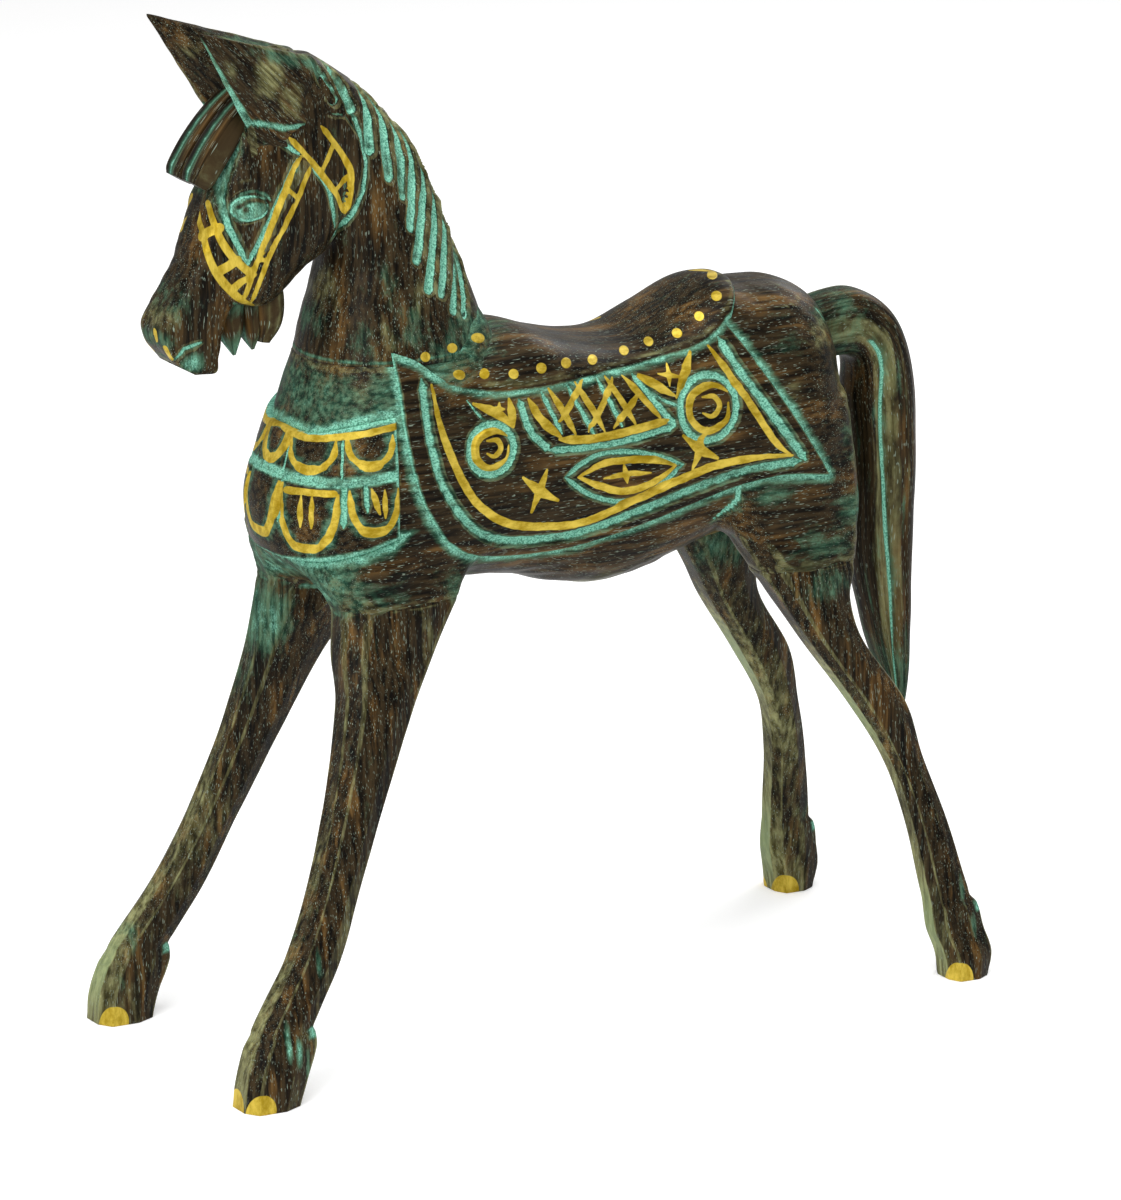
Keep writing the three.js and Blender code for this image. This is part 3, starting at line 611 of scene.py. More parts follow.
# %% Outlines that stand on the body
blanket_front = bend([(-102, 340), (-101.5, 325), (-101, 308), (-98, 288), (-92, 268), (-81, 250)])
blanket_hem = bend([
    (-81, 250), (-68, 241.5), (-48, 236), (-20, 234.5), (3, 237), (35, 243.5), (69, 251.5), (102, 256),
    (131, 252),
])
blanket_rear = bend([(131, 252), (119, 271), (99, 301), (80, 331)])
# Patches of wash and of wear in the side view: x, z, reach, strength, how many times as tall.
brushed = [
    (-128, 318, 28, .5, .8), (-106, 320, 20, .55, 1), (-104, 306, 12, .6, 1), (-138, 232, 26, .62, .9),
    (-112, 228, 20, .34, .7), (-70, 226, 20, .4, .7), (-62, 237, 14, .45, .6),
    (126, 218, 30, .42, .5), (150, 234, 22, .52, .8), (148, 266, 18, .28, 1.2), (98, 247, 18, .45, .5),
    (-127, 390, 7, .42, 3.4), (-130, 356, 12, .48, 1.6), (-99, 372, 6, .4, 3.6),
    (-92, 352, 14, .35, 1.3), (-60, 346, 20, .45, .9), (-45, 336, 16, .4, .7), (-112, 345, 10, .33, 1.6),
    (-70, 338, 20, .42, .6), (174, 322, 20, .3, .8), (140, 324, 14, .28, .6), (112, 318, 16, .28, .8),
]
worn = [
    (154, 290, 16, .6, 2), (157, 262, 14, .6, 2), (136, 318, 18, .4, .7), (20, 207, 26, .45, .5),
    (60, 215, 20, .35, .5), (-118, 322, 8, .35, 1.6), (-122, 372, 7, .4, 3), (-86, 362, 8, .35, 2),
    (-104, 345, 9, .3, 2), (-50, 365, 10, .25, 1), (108, 296, 14, .35, .7), (-92, 205, 8, .35, 3),
]
open_rim = np.concatenate([blanket_front, blanket_hem[1:], blanket_rear[1:]])
blanket_outline = np.concatenate([open_rim, [(20, 334)]])
skirt_edge = bend([
    (-91, 333), (-78, 323), (-60, 316.5), (-40, 314), (-10, 314.3), (10, 314.8), (34, 315.5),
    (58, 319.3), (72, 324), (83, 331.5), (91, 338), (98, 344),
])
neck_seam = 336.0
collar_edges = smooth_table([
    (0, 303, 281, 282.5, 244.5), (28, 302.5, 280, 281.5, 244), (48, 306, 280, 281.5, 247),
    (70, 310, 282, 283.5, 252), (90, 312, 284, 285.5, 257),
])
nail_radius, nail_depth = 2.3, 9  # and how far along the line of sight a dot is painted
nails = np.array([
    (-69.5, 38.3, 326.1), (-53.9, 36.2, 323), (-39.7, 38.5, 321.6), (-24.5, 37.9, 322.2), (-9.5, 34.8, 321.6),
    (7.3, 31.2, 319.8), (29.4, 24.3, 319.4), (44.8, 22.7, 321.5), (57.9, 26.8, 325.2), (71.2, 25.2, 331.4),
    (83.7, 20, 338.2), (-85.7, 38.2, 336.9), (-69.7, 35.4, 338.4), (-53.3, 28.2, 339.3), (90.4, 5.4, 344),
])


def studs(marks, points):
    """Gold dots along the saddle, on both sides of the horse: round as seen from before the shoulder."""
    sight = np.array([-0.49, 0.825, 0.28])
    for place in nails:
        away = points * (1, 0, 1) + np.abs(points) * (0, 1, 0) - place
        deep = away @ sight
        gap = np.linalg.norm(away - deep[..., None] * sight, axis=-1)
        marks.gild(np.where(np.abs(deep) < nail_depth, gap - nail_radius, no_gold))


leg_clear = 6  # how far round a leg the saw takes the wood below the seam
neck_rear = -34


def block_distance(x, y, z):
    """The figure less what the saw takes off the body block: the neck and the leg blocks."""
    whole = figure_distance(x, y, z)
    side = np.abs(y)
    for plan in leg_plans.values():
        leg = leg_distance(plan, x, side, z)
        whole = np.maximum(whole, np.minimum(plan["seam"] - z, leg_clear - leg))
    return np.maximum(whole, np.minimum(z - neck_seam, neck_rear - x))


# %% Skin of the body block
def capsule_grid(fore, aft, fan, straight, around):
    """Ray directions and middles: a turn from the front pole to square, along, and to the rear pole."""
    quarter_turn = np.linspace(0.02, np.pi / 2, fan)
    turn = np.concatenate([quarter_turn, np.full(straight, np.pi / 2), np.pi - quarter_turn[::-1]])
    share = np.concatenate([np.zeros(fan), np.linspace(0, 1, straight + 2)[1:-1], np.ones(fan)])
    angle = full_turn(around)
    hub = fore + share[:, None] * (aft - fore)
    square = np.sin(turn)[:, None]
    return hub[:, None], xyz(-np.cos(turn)[:, None], square * np.sin(angle), square * np.cos(angle))


chest_pole, rump_pole = np.array([-95., 0, 268]), np.array([100., 0, 272])
hub, outward = capsule_grid(chest_pole, rump_pole, 62, 140, 250)
body_points = skin(block_distance, hub + outward * 112, -outward, 108, 26)
body_normal = grid_normals(body_points, outward, True)
bx, by, bz = np.moveaxis(body_points, -1, 0)
under_blanket = np.where(inside_of(bx, bz, blanket_outline), line_distance(bx, bz, blanket_outline)[0], 0)
under_blanket = np.where((np.abs(by) > 15) & (bz > 230), under_blanket, 0)
chest_turn = np.degrees(np.arctan2(np.abs(by), -98 - bx))
collar_low, collar_high = collar_edges(chest_turn, 4), collar_edges(chest_turn, 1)
under_collar = 1.0 * ((bz > collar_low) & (bz < collar_high) & (chest_turn < 80))
skirt_height = np.interp(bx, skirt_edge[:, 0], skirt_edge[:, 1])
under_saddle = 1.0 * ((bx > -91) & (bx < 97) & (bz > skirt_height + 3))
sink_depth = 3  # the body skin lies this deep under blanket, collar and saddle
sink = -sink_depth * np.maximum(ramp(under_blanket, 2, 5), np.maximum(under_collar, under_saddle))
body_marks = Marks(bx, bz)
body_marks.handle()
studs(body_marks, body_points)
body_marks.gouge(bend([(81, 256), (81, 246), (72, 236)]), 4, 0.9, 0.9, 5)
body_marks.gouge(bend([(182, 268), (172, 280), (160, 302), (149, 317), (140, 327)]), 3, 0.8, 1.0, 4)
near_rim = line_distance(bx, bz, open_rim)[0]
body_marks.soak(0.9 * (1 - ramp(near_rim, 1, 7)) * (np.abs(by) > 20))
for collar_edge in (collar_high, collar_low):
    from_collar = np.abs(bz - collar_edge) + 0.4 * np.maximum(chest_turn - 78, 0)
    body_marks.soak(0.95 * (1 - ramp(from_collar, 1.5, 9)))
knife = hand(bx + by, bz - by * 0.6, 0.35, 14)
stub = 0 * bx
for plan in leg_plans.values():
    near = 1 - ramp(leg_distance(plan, bx, np.abs(by), bz), 3, 6)
    stub = np.maximum(stub, near * (1 - ramp(bz - plan["seam"], 0.5, 3.5)))
stub = np.maximum(stub, ramp(bz, neck_seam - 3, neck_seam - 1) * (bx < -30))
body_lift = sink + knife - 0.8 * stub
round_piece("body_skin", "body", body_points, body_normal, body_marks, body_points, body_lift, 1)

# %% [markdown]
# ## Saddle blanket
# The blanket isn't cloth: it is a low relief, left standing when the carver took down the wood round
# it, with a gouged line inside its edge and a lattice, two spirals and a leaf cut in its field. Its
# grid is spread between its four edges, so the rim of the relief is a row of the grid.

# %% Blanket grid
def evenly(line, count):
    """count points along a line at even steps."""
    run = np.concatenate([[0], np.cumsum(np.hypot(*np.diff(line, axis=0).T))])
    at = np.linspace(0, run[-1], count)
    return np.stack([np.interp(at, run, line[:, k]) for k in (0, 1)], -1)


def spread(left, right, top, bottom):
    """A net between four edges: the mean of the two straight blends, less the corners' own blend.
    left and right run down, top and bottom run to the right."""
    v = np.linspace(0, 1, len(left))[:, None, None]
    u = np.linspace(0, 1, len(top))[None, :, None]
    across = (1 - u) * left[:, None] + u * right[:, None]
    down = (1 - v) * top[None] + v * bottom[None]
    corners = (1 - v) * ((1 - u) * top[0] + u * top[-1]) + v * ((1 - u) * bottom[0] + u * bottom[-1])
    return across + down - corners


blanket_top = bend([
    (-102, 340), (-91, 335), (-78, 325), (-60, 318.5), (-40, 316), (-10, 316.2), (10, 316.8), (34, 317.5),
    (58, 321.3), (72, 326), (80, 331),
])
net_rows, net_columns = 170, 390
net = spread(
    evenly(blanket_front, net_rows), evenly(blanket_rear[::-1], net_rows),
    evenly(blanket_top, net_columns), evenly(blanket_hem, net_columns),
)


def from_side(net):
    """The skin of the horse's left side under a net drawn in the side view: rays straight across."""
    return skin(figure_distance, xyz(net[..., 0], -78.0, net[..., 1]), np.array([0.0, 1.0, 0.0]), 76)


blanket_points = from_side(net)
blanket_normal = grid_normals(blanket_points, np.array([0, -1.0, 0.2]))

# %% Blanket carving
def ring(x, z, radius):
    """A circle as a line."""
    t = np.linspace(0, 2 * np.pi, 28)
    return np.stack([x + radius * np.cos(t), z + radius * np.sin(t)], -1)


field_gouges = [
    ([(-90, 327), (-88.5, 302), (-83, 278), (-69, 257), (-50, 245.5), (-21, 242), (1, 244), (26, 249.5),
      (59, 257), (84, 261), (113, 262)], 6.0, 2.2, 1.0, 1.2, 0.02),
    ([(116, 262), (105, 277), (92, 295), (81, 311), (75, 324)], 6.2, 2.0, 1.0, 1.2, 0.05),
    ([(-39, 311), (-35, 297), (-25, 286)], 5.2, 1.9, 1.0, 1.2, 0.08),
    ([(-25, 286), (-3, 284.5), (20, 285), (44, 288)], 4.8, 1.8, 1.0, 1.2, 0.06),
    ([(44, 288), (35, 300), (26, 313)], 5.2, 1.8, 1.0, 1.2, 0.1),
    ([(-27, 313), (-18, 293)], 3.6, 1.4, 0.95, 0.6, 0.25), ([(-13, 315), (0, 289)], 3.6, 1.4, 0.95, 0.6, 0.25),
    ([(5, 315), (15, 292)], 3.6, 1.4, 0.95, 0.6, 0.25),
    ([(-17, 272), (-3, 279), (11, 280.3), (30, 276.5), (48, 269)], 3.8, 1.5, 0.95, 1.3, 0.1),
    ([(48, 269), (33, 259.5), (15, 255.6), (-3, 261.5), (-17, 272)], 3.8, 1.5, 0.95, 1.3, 0.1),
]
field_gold = [
    ([(-85.5, 324), (-83, 307), (-77.5, 289), (-68.5, 271), (-57, 259.5), (-41, 252), (-15, 248.3), (1, 249.8),
      (25, 256.5), (50, 263), (68, 266.5), (93, 267), (108, 265.5)], 4.1, 0.12),
    ([(107, 266), (99, 273), (87, 291), (76, 308), (68.5, 321)], 3.6, 0.15),
    ([(-34.5, 311), (-29, 301), (-19, 291.5)], 4.2, 0.2),
    ([(-20, 290.5), (-3, 288.4), (16, 289), (41, 291.2)], 4.2, 0.1),
    ([(-10, 271), (2, 275.4), (14, 275.9), (32, 273.6), (44, 269.4)], 3.4, 0.2),
    ([(44, 269.4), (32, 263), (16, 260.8), (2, 265.2), (-10, 271)], 3.6, 0.2),
    ([(15, 273.5), (17, 264.5)], 2.8, 0.3), ([(-63, 312), (-51, 306), (-44, 299.5)], 4.2, 0.35),
    ([(-44.5, 312), (-44, 299.5)], 4.2, 0.35), ([(29, 312), (45, 302)], 4.2, 0.35),
    ([(59, 319), (52, 309), (46, 301)], 4.2, 0.35),
]
lattice_gold = [
    (-23, 314, -11, 292), (-8, 315, 5, 291), (10, 314, 22, 292), (20, 313, 36, 293), (-3, 315, -19, 299),
    (14, 313, -4, 292), (26, 305, 10, 292),
]
spiral = [(10, 6), (2, 9.5), (-8, 6), (-9.5, -3), (-2, -9.5), (8, -6), (9.6, 1)]
spiral_heart = [(-3, 5), (3, 4.5), (5, 0), (1, -3.5), (-3.5, -1.5)]


def carve_blanket(m):
    """Gouge lines, paint and wash of the blanket's field, drawn in the side view."""
    carve(m, field_gouges, field_gold)
    for x1, z1, x2, z2 in lattice_gold:
        m.paint([(x1, z1), (x2, z2)], 3.3, 0.25)
    for x, z, radius, inner in [(-56, 290.5, 14, 9), (63, 294, 17.5, 11)]:
        m.gouge(ring(x, z, radius - 2.2), 5.2, 1.9, 1.0, 1.3, 0)
        for line, width, taper in [(spiral, 3.5, 0.2), (spiral_heart, 2.7, 0.3)]:
            m.paint(bend(np.array(line) * inner / 10 + (x, z)), width, taper)
    m.paint([(4, 268.5), (17, 269.2), (30, 267.6)], 2.6, 0.3)
    for x, z in [(-30.5, 267.5), (57.5, 275.5)]:
        m.paint([(x - 9.5, z + 7.5), (x, z - 0.5), (x + 9.5, z - 6)], 4.8, 0.4)
        m.paint([(x + 3.5, z + 9.5), (x - 0.5, z), (x - 4.5, z - 9.5)], 4.4, 0.4)
    for x, z, size in [(-50.5, 308.5, 3.0), (44.5, 310.5, 5.0)]:
        m.paint([(x - size, z + 0.2 * size), (x + size, z - 0.2 * size)], 2.4, 0.4)
        m.paint([(x + 0.3 * size, z + 0.9 * size), (x - 0.2 * size, z - 0.9 * size)], 2.4, 0.4)
    m.gouge([(-66, 314), (-60, 305), (-47, 296)], 2.4, 0.6, 0.7, 1.5)
    m.gouge([(25, 311), (38, 301), (47, 297), (55, 306)], 2.4, 0.7, 0.8, 1.5)
    m.soak(0.85 * (1 - ramp(line_distance(m.x, m.z, blanket_top)[0], 1.5, 6)))


def rim_rise(gap, relief, round_by=2.0):
    """Height of a relief at a distance from its rim: a quarter circle, then flat."""
    return relief * np.sqrt(np.clip(1 - (1 - np.minimum(gap / round_by, 1)) ** 2, 0, 1))


blanket_marks = Marks(net[..., 0], net[..., 1])
carve_blanket(blanket_marks)
rim_gap = line_distance(net[..., 0], net[..., 1], open_rim)[0]
blanket_foot, blanket_rise = 0.7, 0.9
blanket_lift = blanket_foot + rim_rise(rim_gap, blanket_rise) + hand(blanket_marks.x, blanket_marks.z, 0.12, 6)
blanket_marks.soak(0.8 * (1 - ramp(rim_gap, 0.2, 1.4)))
patch_piece(
    "blanket_left", blanket_points, blanket_normal, blanket_marks, (10, -22, 285), blanket_lift, "blanket_right"
)

# %% [markdown]
# ## Saddle
# The saddle is the top of the barrel, left a little proud, with a rounded skirt that hangs over the
# blanket. Its front runs out softly into the withers. The grid runs along the back and across it from
# skirt to skirt, and closes to a point behind the cantle.

# %% Saddle
saddle_end, saddle_axis = 98.4, 285.0  # mm along the back, and the height of the line the rays aim at
skirt_x = np.linspace(-91, 98, 60)
skirt_z = np.interp(skirt_x, skirt_edge[:, 0], skirt_edge[:, 1])
skirt_at = from_side(np.stack([skirt_x, skirt_z], -1)[None])[0]
skirt_turn = np.arctan2(np.abs(skirt_at[:, 1]), skirt_at[:, 2] - saddle_axis)
closing = np.clip((98.5 - skirt_x) / 14.5, 0, 1) ** 0.5
skirt_turn = np.where(skirt_x > 84, skirt_turn[skirt_x <= 84][-1] * closing, skirt_turn)
across = np.linspace(-1, 1, 200)[None, :]
saddle_start = -93 + 50 * (1 - np.abs(across)) ** 0.8
saddle_x = saddle_start + np.linspace(0, 0.995, 330)[:, None] * (saddle_end - saddle_start)
skirt_here = np.interp(saddle_x, skirt_x, skirt_turn)
saddle_turn = across * skirt_here
saddle_out = xyz(0, np.sin(saddle_turn), np.cos(saddle_turn))
saddle_points = skin(figure_distance, xyz(saddle_x, 0, saddle_axis) + saddle_out * 72, -saddle_out, 60)
saddle_normal = grid_normals(saddle_points, saddle_out)
saddle_marks = Marks(saddle_points[..., 0], saddle_points[..., 2])
studs(saddle_marks, saddle_points)
skirt_gap = np.minimum((1 - np.abs(across)) * skirt_here * 48, (saddle_end - saddle_x) * 0.9)
front_gap = saddle_x - saddle_start
saddle_dip, saddle_foot, saddle_rise = 2.5, 0.6, 2.0  # the front edge dives under the withers
saddle_lift = (saddle_dip + saddle_foot + rim_rise(skirt_gap, saddle_rise, 3.5)) * ramp(front_gap, 0, 16)
saddle_lift -= saddle_dip
saddle_marks.wash = np.maximum(0.95 * (1 - ramp(skirt_gap, 0.3, 2)), 0.62 * (1 - ramp(front_gap, 2, 40)))
saddle_marks.rub_and_shade = 0.3 * ramp(skirt_gap, 1.5, 3) * (1 - ramp(skirt_gap, 4, 7))
patch_piece("saddle", saddle_points, saddle_normal, saddle_marks, (0, 0, 290), saddle_lift)

# %% [markdown]
# ## Breast collar
# Two bands go round the chest from blanket to blanket. The upper one stands less proud than the lower
# one, and both are cut into hanging lobes with a gold line in each. A band is a grid of turn round the
# chest and share of its height; rays come in level towards the middle of the shoulders.

# %% Collar bands
per_degree = 0.83  # mm round the chest to a degree of turn
collar_reach = 81  # degrees to either side


def carve_lobes(m, lobes, width):
    """Hanging lobes from their left and right end in degrees and their top and bottom in height."""
    for left, right, top, low in lobes:
        for side in (-1, 1):
            a, b = side * left * per_degree, side * right * per_degree
            mid, waist = (a + b) / 2, (top + low) / 2
            edge = bend([
                (a, top), (a + (mid - a) * 0.1, waist), (a + (mid - a) * 0.45, low + 2), (mid, low),
                (b + (mid - b) * 0.45, low + 2), (b + (mid - b) * 0.1, waist), (b, top),
            ])
            m.paint(edge, width, 0.1)
            m.paint(edge[len(edge) // 4:-len(edge) // 4], width + 1.4, 0.3)
            m.soak(0.6 * (1 - ramp(line_distance(m.x, m.z, edge)[0], 1, 6)))


def collar_band(name, keys, rows, lobes, width, gold, gouges, foot_wash, rim_wash, relief, swell, height, hub):
    """One band between two edges of the collar: relief mm high at its ends and swell mm more in front,
    with a rim of height mm. gold and gouges are lines in degrees and height, drawn on both sides."""
    turn = np.radians(np.linspace(-collar_reach, collar_reach, 330))[None, :]
    top, bottom = (collar_edges(np.degrees(np.abs(turn)), key) for key in keys)
    z = bottom + (top - bottom) * np.linspace(0, 1, rows)[:, None]
    out = xyz(-np.cos(turn), np.sin(turn), 0 * z)
    points = skin(figure_distance, xyz(-98, 0, z) + out * 95, -out, 80)
    degrees = np.degrees(turn) + 0 * z
    m = Marks(degrees * per_degree, z)
    carve_lobes(m, lobes, width)
    for side in (-1, 1):
        for line, *brush in gold:
            m.paint(bend(np.array(line) * (side * per_degree, 1)), *brush)
        for line, *tool in gouges:
            m.gouge(bend(np.array(line) * (side * per_degree, 1)), *tool)
    if foot_wash:
        m.soak(foot_wash * (1 - ramp(z - bottom, 3.5, 7)))
    edge_gap = np.minimum(np.minimum(top - z, z - bottom), (collar_reach - np.abs(degrees)) * per_degree)
    m.soak(1 - ramp(edge_gap, 0.8, rim_wash))
    lift = relief + swell * np.cos(turn) ** 2 - height + rim_rise(edge_gap, height)
    patch_piece(name, points, grid_normals(points, out), m, hub, lift)


collar_band(
    "collar_upper", (1, 2), 60, [(-11, 13, 303, 287.5), (15, 46, 301, 286.5), (52, 78, 304, 290)], 3.0,
    [([(-81, 308), (-60, 304.5), (-45, 302.5), (-28, 300.5), (-10, 301.5), (0, 303),
       (10, 301.5), (28, 300.5), (45, 302.5), (60, 304.5), (81, 308)], 3.2)],
    [([(14, 299), (14, 283)], 2.4, 1.2, 0.8, 1.2, 0.2), ([(49.5, 302), (49.5, 284)], 2.4, 1.2, 0.8, 1.2, 0.2)],
    0.95, 3.2, 2.0, 1.2, 1.6, (-100, 0, 295),
)
collar_band(
    "collar_lower", (3, 4), 110, [(-15, 14, 279, 255), (17, 48, 277, 251), (54, 80, 279, 259.5)], 3.2,
    [([(20, 276.5), (46, 277.5)], 3.0), ([(29, 275), (29, 261)], 2.4, 0.3), ([(35, 275), (35, 261)], 2.4, 0.3),
     ([(65, 280), (69, 268)], 2.6, 0.3), ([(72, 279), (72, 266)], 2.4, 0.3)],
    [([(15.5, 281), (15.5, 262)], 3.6, 2.2, 1.0, 1.5, 0.15), ([(51, 282), (51, 262)], 4.0, 2.2, 1.0, 1.5, 0.15),
     ([(62, 284), (63, 269)], 3.2, 1.8, 1.0, 1.2, 0.3)],
    0, 3.4, 2.2, 1.6, 2.0, (-98, 0, 262),
)

# %% [markdown]
# ## Neck and mane
# Neck and head are one block on the real horse. The mane is cut straight into the neck: a row of
# scooped channels runs from the crest down each side, each ends in a round tip, and the wash fills
# them. The rays come in level to the middle of the neck.

# %% Neck
crown_plate = [
    (-150, 453), (-117, 451), (-110.5, 441), (-107.5, 429), (-109, 416), (-115, 403), (-123, 392), (-150, 398),
]


def plate_distance(x, y, z, proud):
    """The cheek plate: the neck's own oval, a little proud, inside a convex outline in the side view
    (the highest of the distances beyond its edge lines)."""
    plate = column_distance(x, y, z) - proud
    for (x1, z1), (x2, z2) in zip(crown_plate, crown_plate[1:] + crown_plate[:1]):
        size = np.hypot(x2 - x1, z2 - z1)
        plate = np.maximum(plate, ((x - x1) * (z1 - z2) + (z - z1) * (x2 - x1)) / size)
    return plate


def neck_distance(x, y, z):
    """The trunk with the cheek plate laid on it."""
    return blend_min(trunk_distance(x, y, z), plate_distance(x, y, z, 1.5), 0.8)


crown_gouge = [(-114, 453), (-111.5, 450), (-108.2, 439), (-107.4, 427), (-110, 413), (-116, 400), (-123, 392)]
crown_gold = [
    ([(-146.8, 445), (-138, 435.2), (-129, 424.4), (-122, 415), (-116.6, 404.8)], 2.7, 0.06),
    ([(-129, 447.6), (-123, 440), (-116.4, 429.5), (-114.3, 421), (-116.4, 404.8)], 2.7, 0.06),
    ([(-130.5, 426), (-122.5, 439)], 2.4, 0.06), ([(-123, 416.5), (-114.8, 423)], 2.4, 0.06),
]


def carve_crown(m):
    """The strap behind the cheek, two gold arcs with bars between, which runs from head to neck."""
    carve(m, [(crown_gouge, 3.8, 1.1, 0.8, 0.8, 0.1)], crown_gold)


neck_end = 478.6  # the last row lies inside the ears
neck_z = np.linspace(neck_seam - 3, neck_end, 234)[:, None]
neck_turn = full_turn(280)
neck_out = xyz(np.cos(neck_turn), np.sin(neck_turn), 0 * neck_z)
neck_points = skin(neck_distance, xyz(column(neck_z, 3), 0, neck_z) + neck_out * 70, -neck_out, 70, 20)
neck_points[..., 2] = neck_z
neck_normal = grid_normals(neck_points, neck_out, True)
nx, ny, nz = np.moveaxis(neck_points, -1, 0)
neck_marks = Marks(nx, nz)
flutes = [
    [(-138.8, 479), (-133.4, 469), (-128.6, 462)],
    [(-130.7, 480), (-125, 468), (-121.2, 459)],
    [(-121.2, 475), (-115, 463), (-112, 453.6)],
    [(-105, 465), (-102.7, 456), (-103.4, 444.4), (-104, 434)],
    [(-100, 460), (-94.6, 449), (-95, 436.6), (-94.6, 420.4)],
    [(-93, 455), (-87, 442.6), (-86.6, 427), (-87, 411)],
    [(-86, 449), (-79.4, 433), (-80.4, 418), (-84.5, 396)],
    [(-75, 434), (-71.7, 418.7), (-75.9, 404), (-83, 381)],
    [(-70, 428), (-65.7, 410.5), (-69.5, 394.6), (-78.3, 367)],
    [(-63, 413), (-60.5, 397), (-64, 384), (-70.6, 364)],
    [(-57.5, 399), (-55.8, 382.7), (-58, 370.8), (-64.4, 355)],
    [(-53.5, 386), (-53, 371), (-55, 359.5), (-57.4, 352)],
]
crest_fade = (469, 475)  # heights between which the cuts run out under the ears


def carve_flutes(m):
    """Scooped channels: they widen from 1.5 to 3.3 mm to either side, and the wash lies in their floor."""
    for number, line in enumerate(flutes):
        gap, along = line_distance(m.x, m.z, bend(line))
        half = 1.5 + 1.8 * ramp(along, 0, 0.6)
        deep = 2.7 * ramp(along, -0.1, 0.2) * (1 - ramp(m.z, *crest_fade))
        m.cut = np.minimum(m.cut, -deep * np.clip(1 - (gap / half) ** 2, 0, 1) ** 0.7)
        full = 0.46 + (0.36 + 0.07 * np.sin(number * 2.4)) * ramp(along, 0.15, 0.55)
        full *= 1 - 0.3 * ramp(along, 0.82, 1.0)
        m.soak(full * (1 - ramp(gap, half * 0.45, half * 1.05)))
        m.rub_and_shade = np.maximum(m.rub_and_shade, 0.65 * (1 - ramp(along, 0.15, 0.6)) * (1 - ramp(gap, 1, 4)))


carve_flutes(neck_marks)
carve_crown(neck_marks)
neck_marks.handle()
studs(neck_marks, neck_points)
above_seam = nz - neck_seam
neck_marks.soak(0.6 * (1 - ramp(np.abs(above_seam), 0.2, 1.4)) * (nx < -60))
neck_lift = hand(nx + ny, nz, 0.3, 12) * ramp(above_seam, 0, 12) - 0.6 * (1 - ramp(above_seam, -3, -1))
neck_lift *= 1 - ramp(nz, *crest_fade)
round_piece("neck_skin", "neck_and_head", neck_points, neck_normal, neck_marks, xyz(nz, nx, ny), neck_lift)

# %% [markdown]
# ## Head
# The head is a faceted wedge that hangs from the poll. Its grid runs along the line from poll to
# muzzle, and the rays are square to that line. Eye, cheek and jaw are gouged into the side, and the
# bridle is painted on as two double lines that meet under the eye.

# %% Head
head_rows = smooth_table([
    (-26, 12, -14, 9), (-14, 22, -28, 16), (6, 25, -40, 20), (30, 23, -49, 22), (46, 21, -49, 22),
    (60, 17.5, -42, 20.5), (79, 14.5, -35.5, 17.5), (85, 14, -30, 16.5), (89, 13.8, -18, 15.5),
    (102, 13.8, -17.5, 14), (114, 13.5, -21, 13.5), (121, 8.5, -24, 12.5), (126, -3, -15, 10),
])
head_tilt = np.radians(30)
poll_x, poll_z = -140, 452
head_start, chin, muzzle = -26, 121, 126  # mm down the head's line from the poll


def head_place(along, ahead, across):
    """From the poll down the head's line, out towards the face, and across."""
    x = poll_x - along * np.sin(head_tilt) - ahead * np.cos(head_tilt)
    z = poll_z - along * np.cos(head_tilt) + ahead * np.sin(head_tilt)
    return xyz(x, across, z)


def head_distance(x, y, z):
    """Ovals square to the head's line, nearly square at the muzzle, blended with the cheek plate."""
    along = -(x - poll_x) * np.sin(head_tilt) - (z - poll_z) * np.cos(head_tilt)
    ahead = -(x - poll_x) * np.cos(head_tilt) + (z - poll_z) * np.sin(head_tilt)
    front, back, half = (head_rows(along, k) for k in (1, 2, 3))
    power = 3.2 + 2.8 * ramp(along, 88, 112)
    oval = section_distance(y, ahead - (front + back) / 2, half, (front - back) / 2, power)
    oval = np.maximum(oval, np.maximum(head_start - along, along - muzzle))
    return blend_min(oval, plate_distance(x, y, z, 1.2), 2.5)


def rounded(v, power):
    """cos or sin of a turn, drawn out so that both together go round |a|^power + |b|^power = 1."""
    return np.sign(v) * np.abs(v) ** (2 / power)


head_s = np.concatenate([np.linspace(head_start, chin, 225), np.linspace(chin + 0.4, muzzle, 12)])[:, None]
head_turn = full_turn(300)
front, back, half = (head_rows(head_s, k) for k in (1, 2, 3))
head_middle, head_reach = (front + back) / 2, (front - back) / 2
head_hub = head_place(head_s, head_middle, 0 * head_turn)
head_out = head_place(
    head_s, head_middle + head_reach * rounded(np.cos(head_turn), 2.8), half * rounded(np.sin(head_turn), 2.8)
) - head_hub
head_out /= np.linalg.norm(head_out, axis=-1, keepdims=True)
head_points = skin(head_distance, head_hub + head_out * 64, -head_out, 64, 16)
head_normal = grid_normals(head_points, head_out, True)
hx, hy, hz = np.moveaxis(head_points, -1, 0)
head_marks = Marks(hx, hz)
side_only = ramp(np.abs(hy), 6, 10)
head_gouges = [
    ([(-178, 409.5), (-174, 418.5), (-167, 421.5), (-160, 419.5), (-154.5, 413.5)], 3.4, 0.45, 0.3, 0.8, 0.25),
    ([(-178, 409.5), (-170, 408), (-162, 409.8), (-154.5, 413.5)], 2.4, 0.3, 0.3, 1.2, 0.25),
    ([(-168.7, 447), (-175, 433), (-179.6, 419), (-177, 404.7), (-168, 387)], 4.6, 1.7, 0.8, 2.2, 0.12),
    ([(-168, 387), (-162.9, 396.6), (-152.8, 416.5), (-142, 435)], 4.2, 1.7, 0.82, 1.0, 0.12),
    ([(-168, 449), (-156.7, 447.3), (-147, 440.4), (-141, 435.6)], 3.4, 1.3, 0.72, 1.4, 0.2),
    ([(-136, 431), (-127.3, 420), (-123.7, 409.6), (-121.6, 399)], 3.6, 1.4, 0.72, 0.9, 0.2),
]
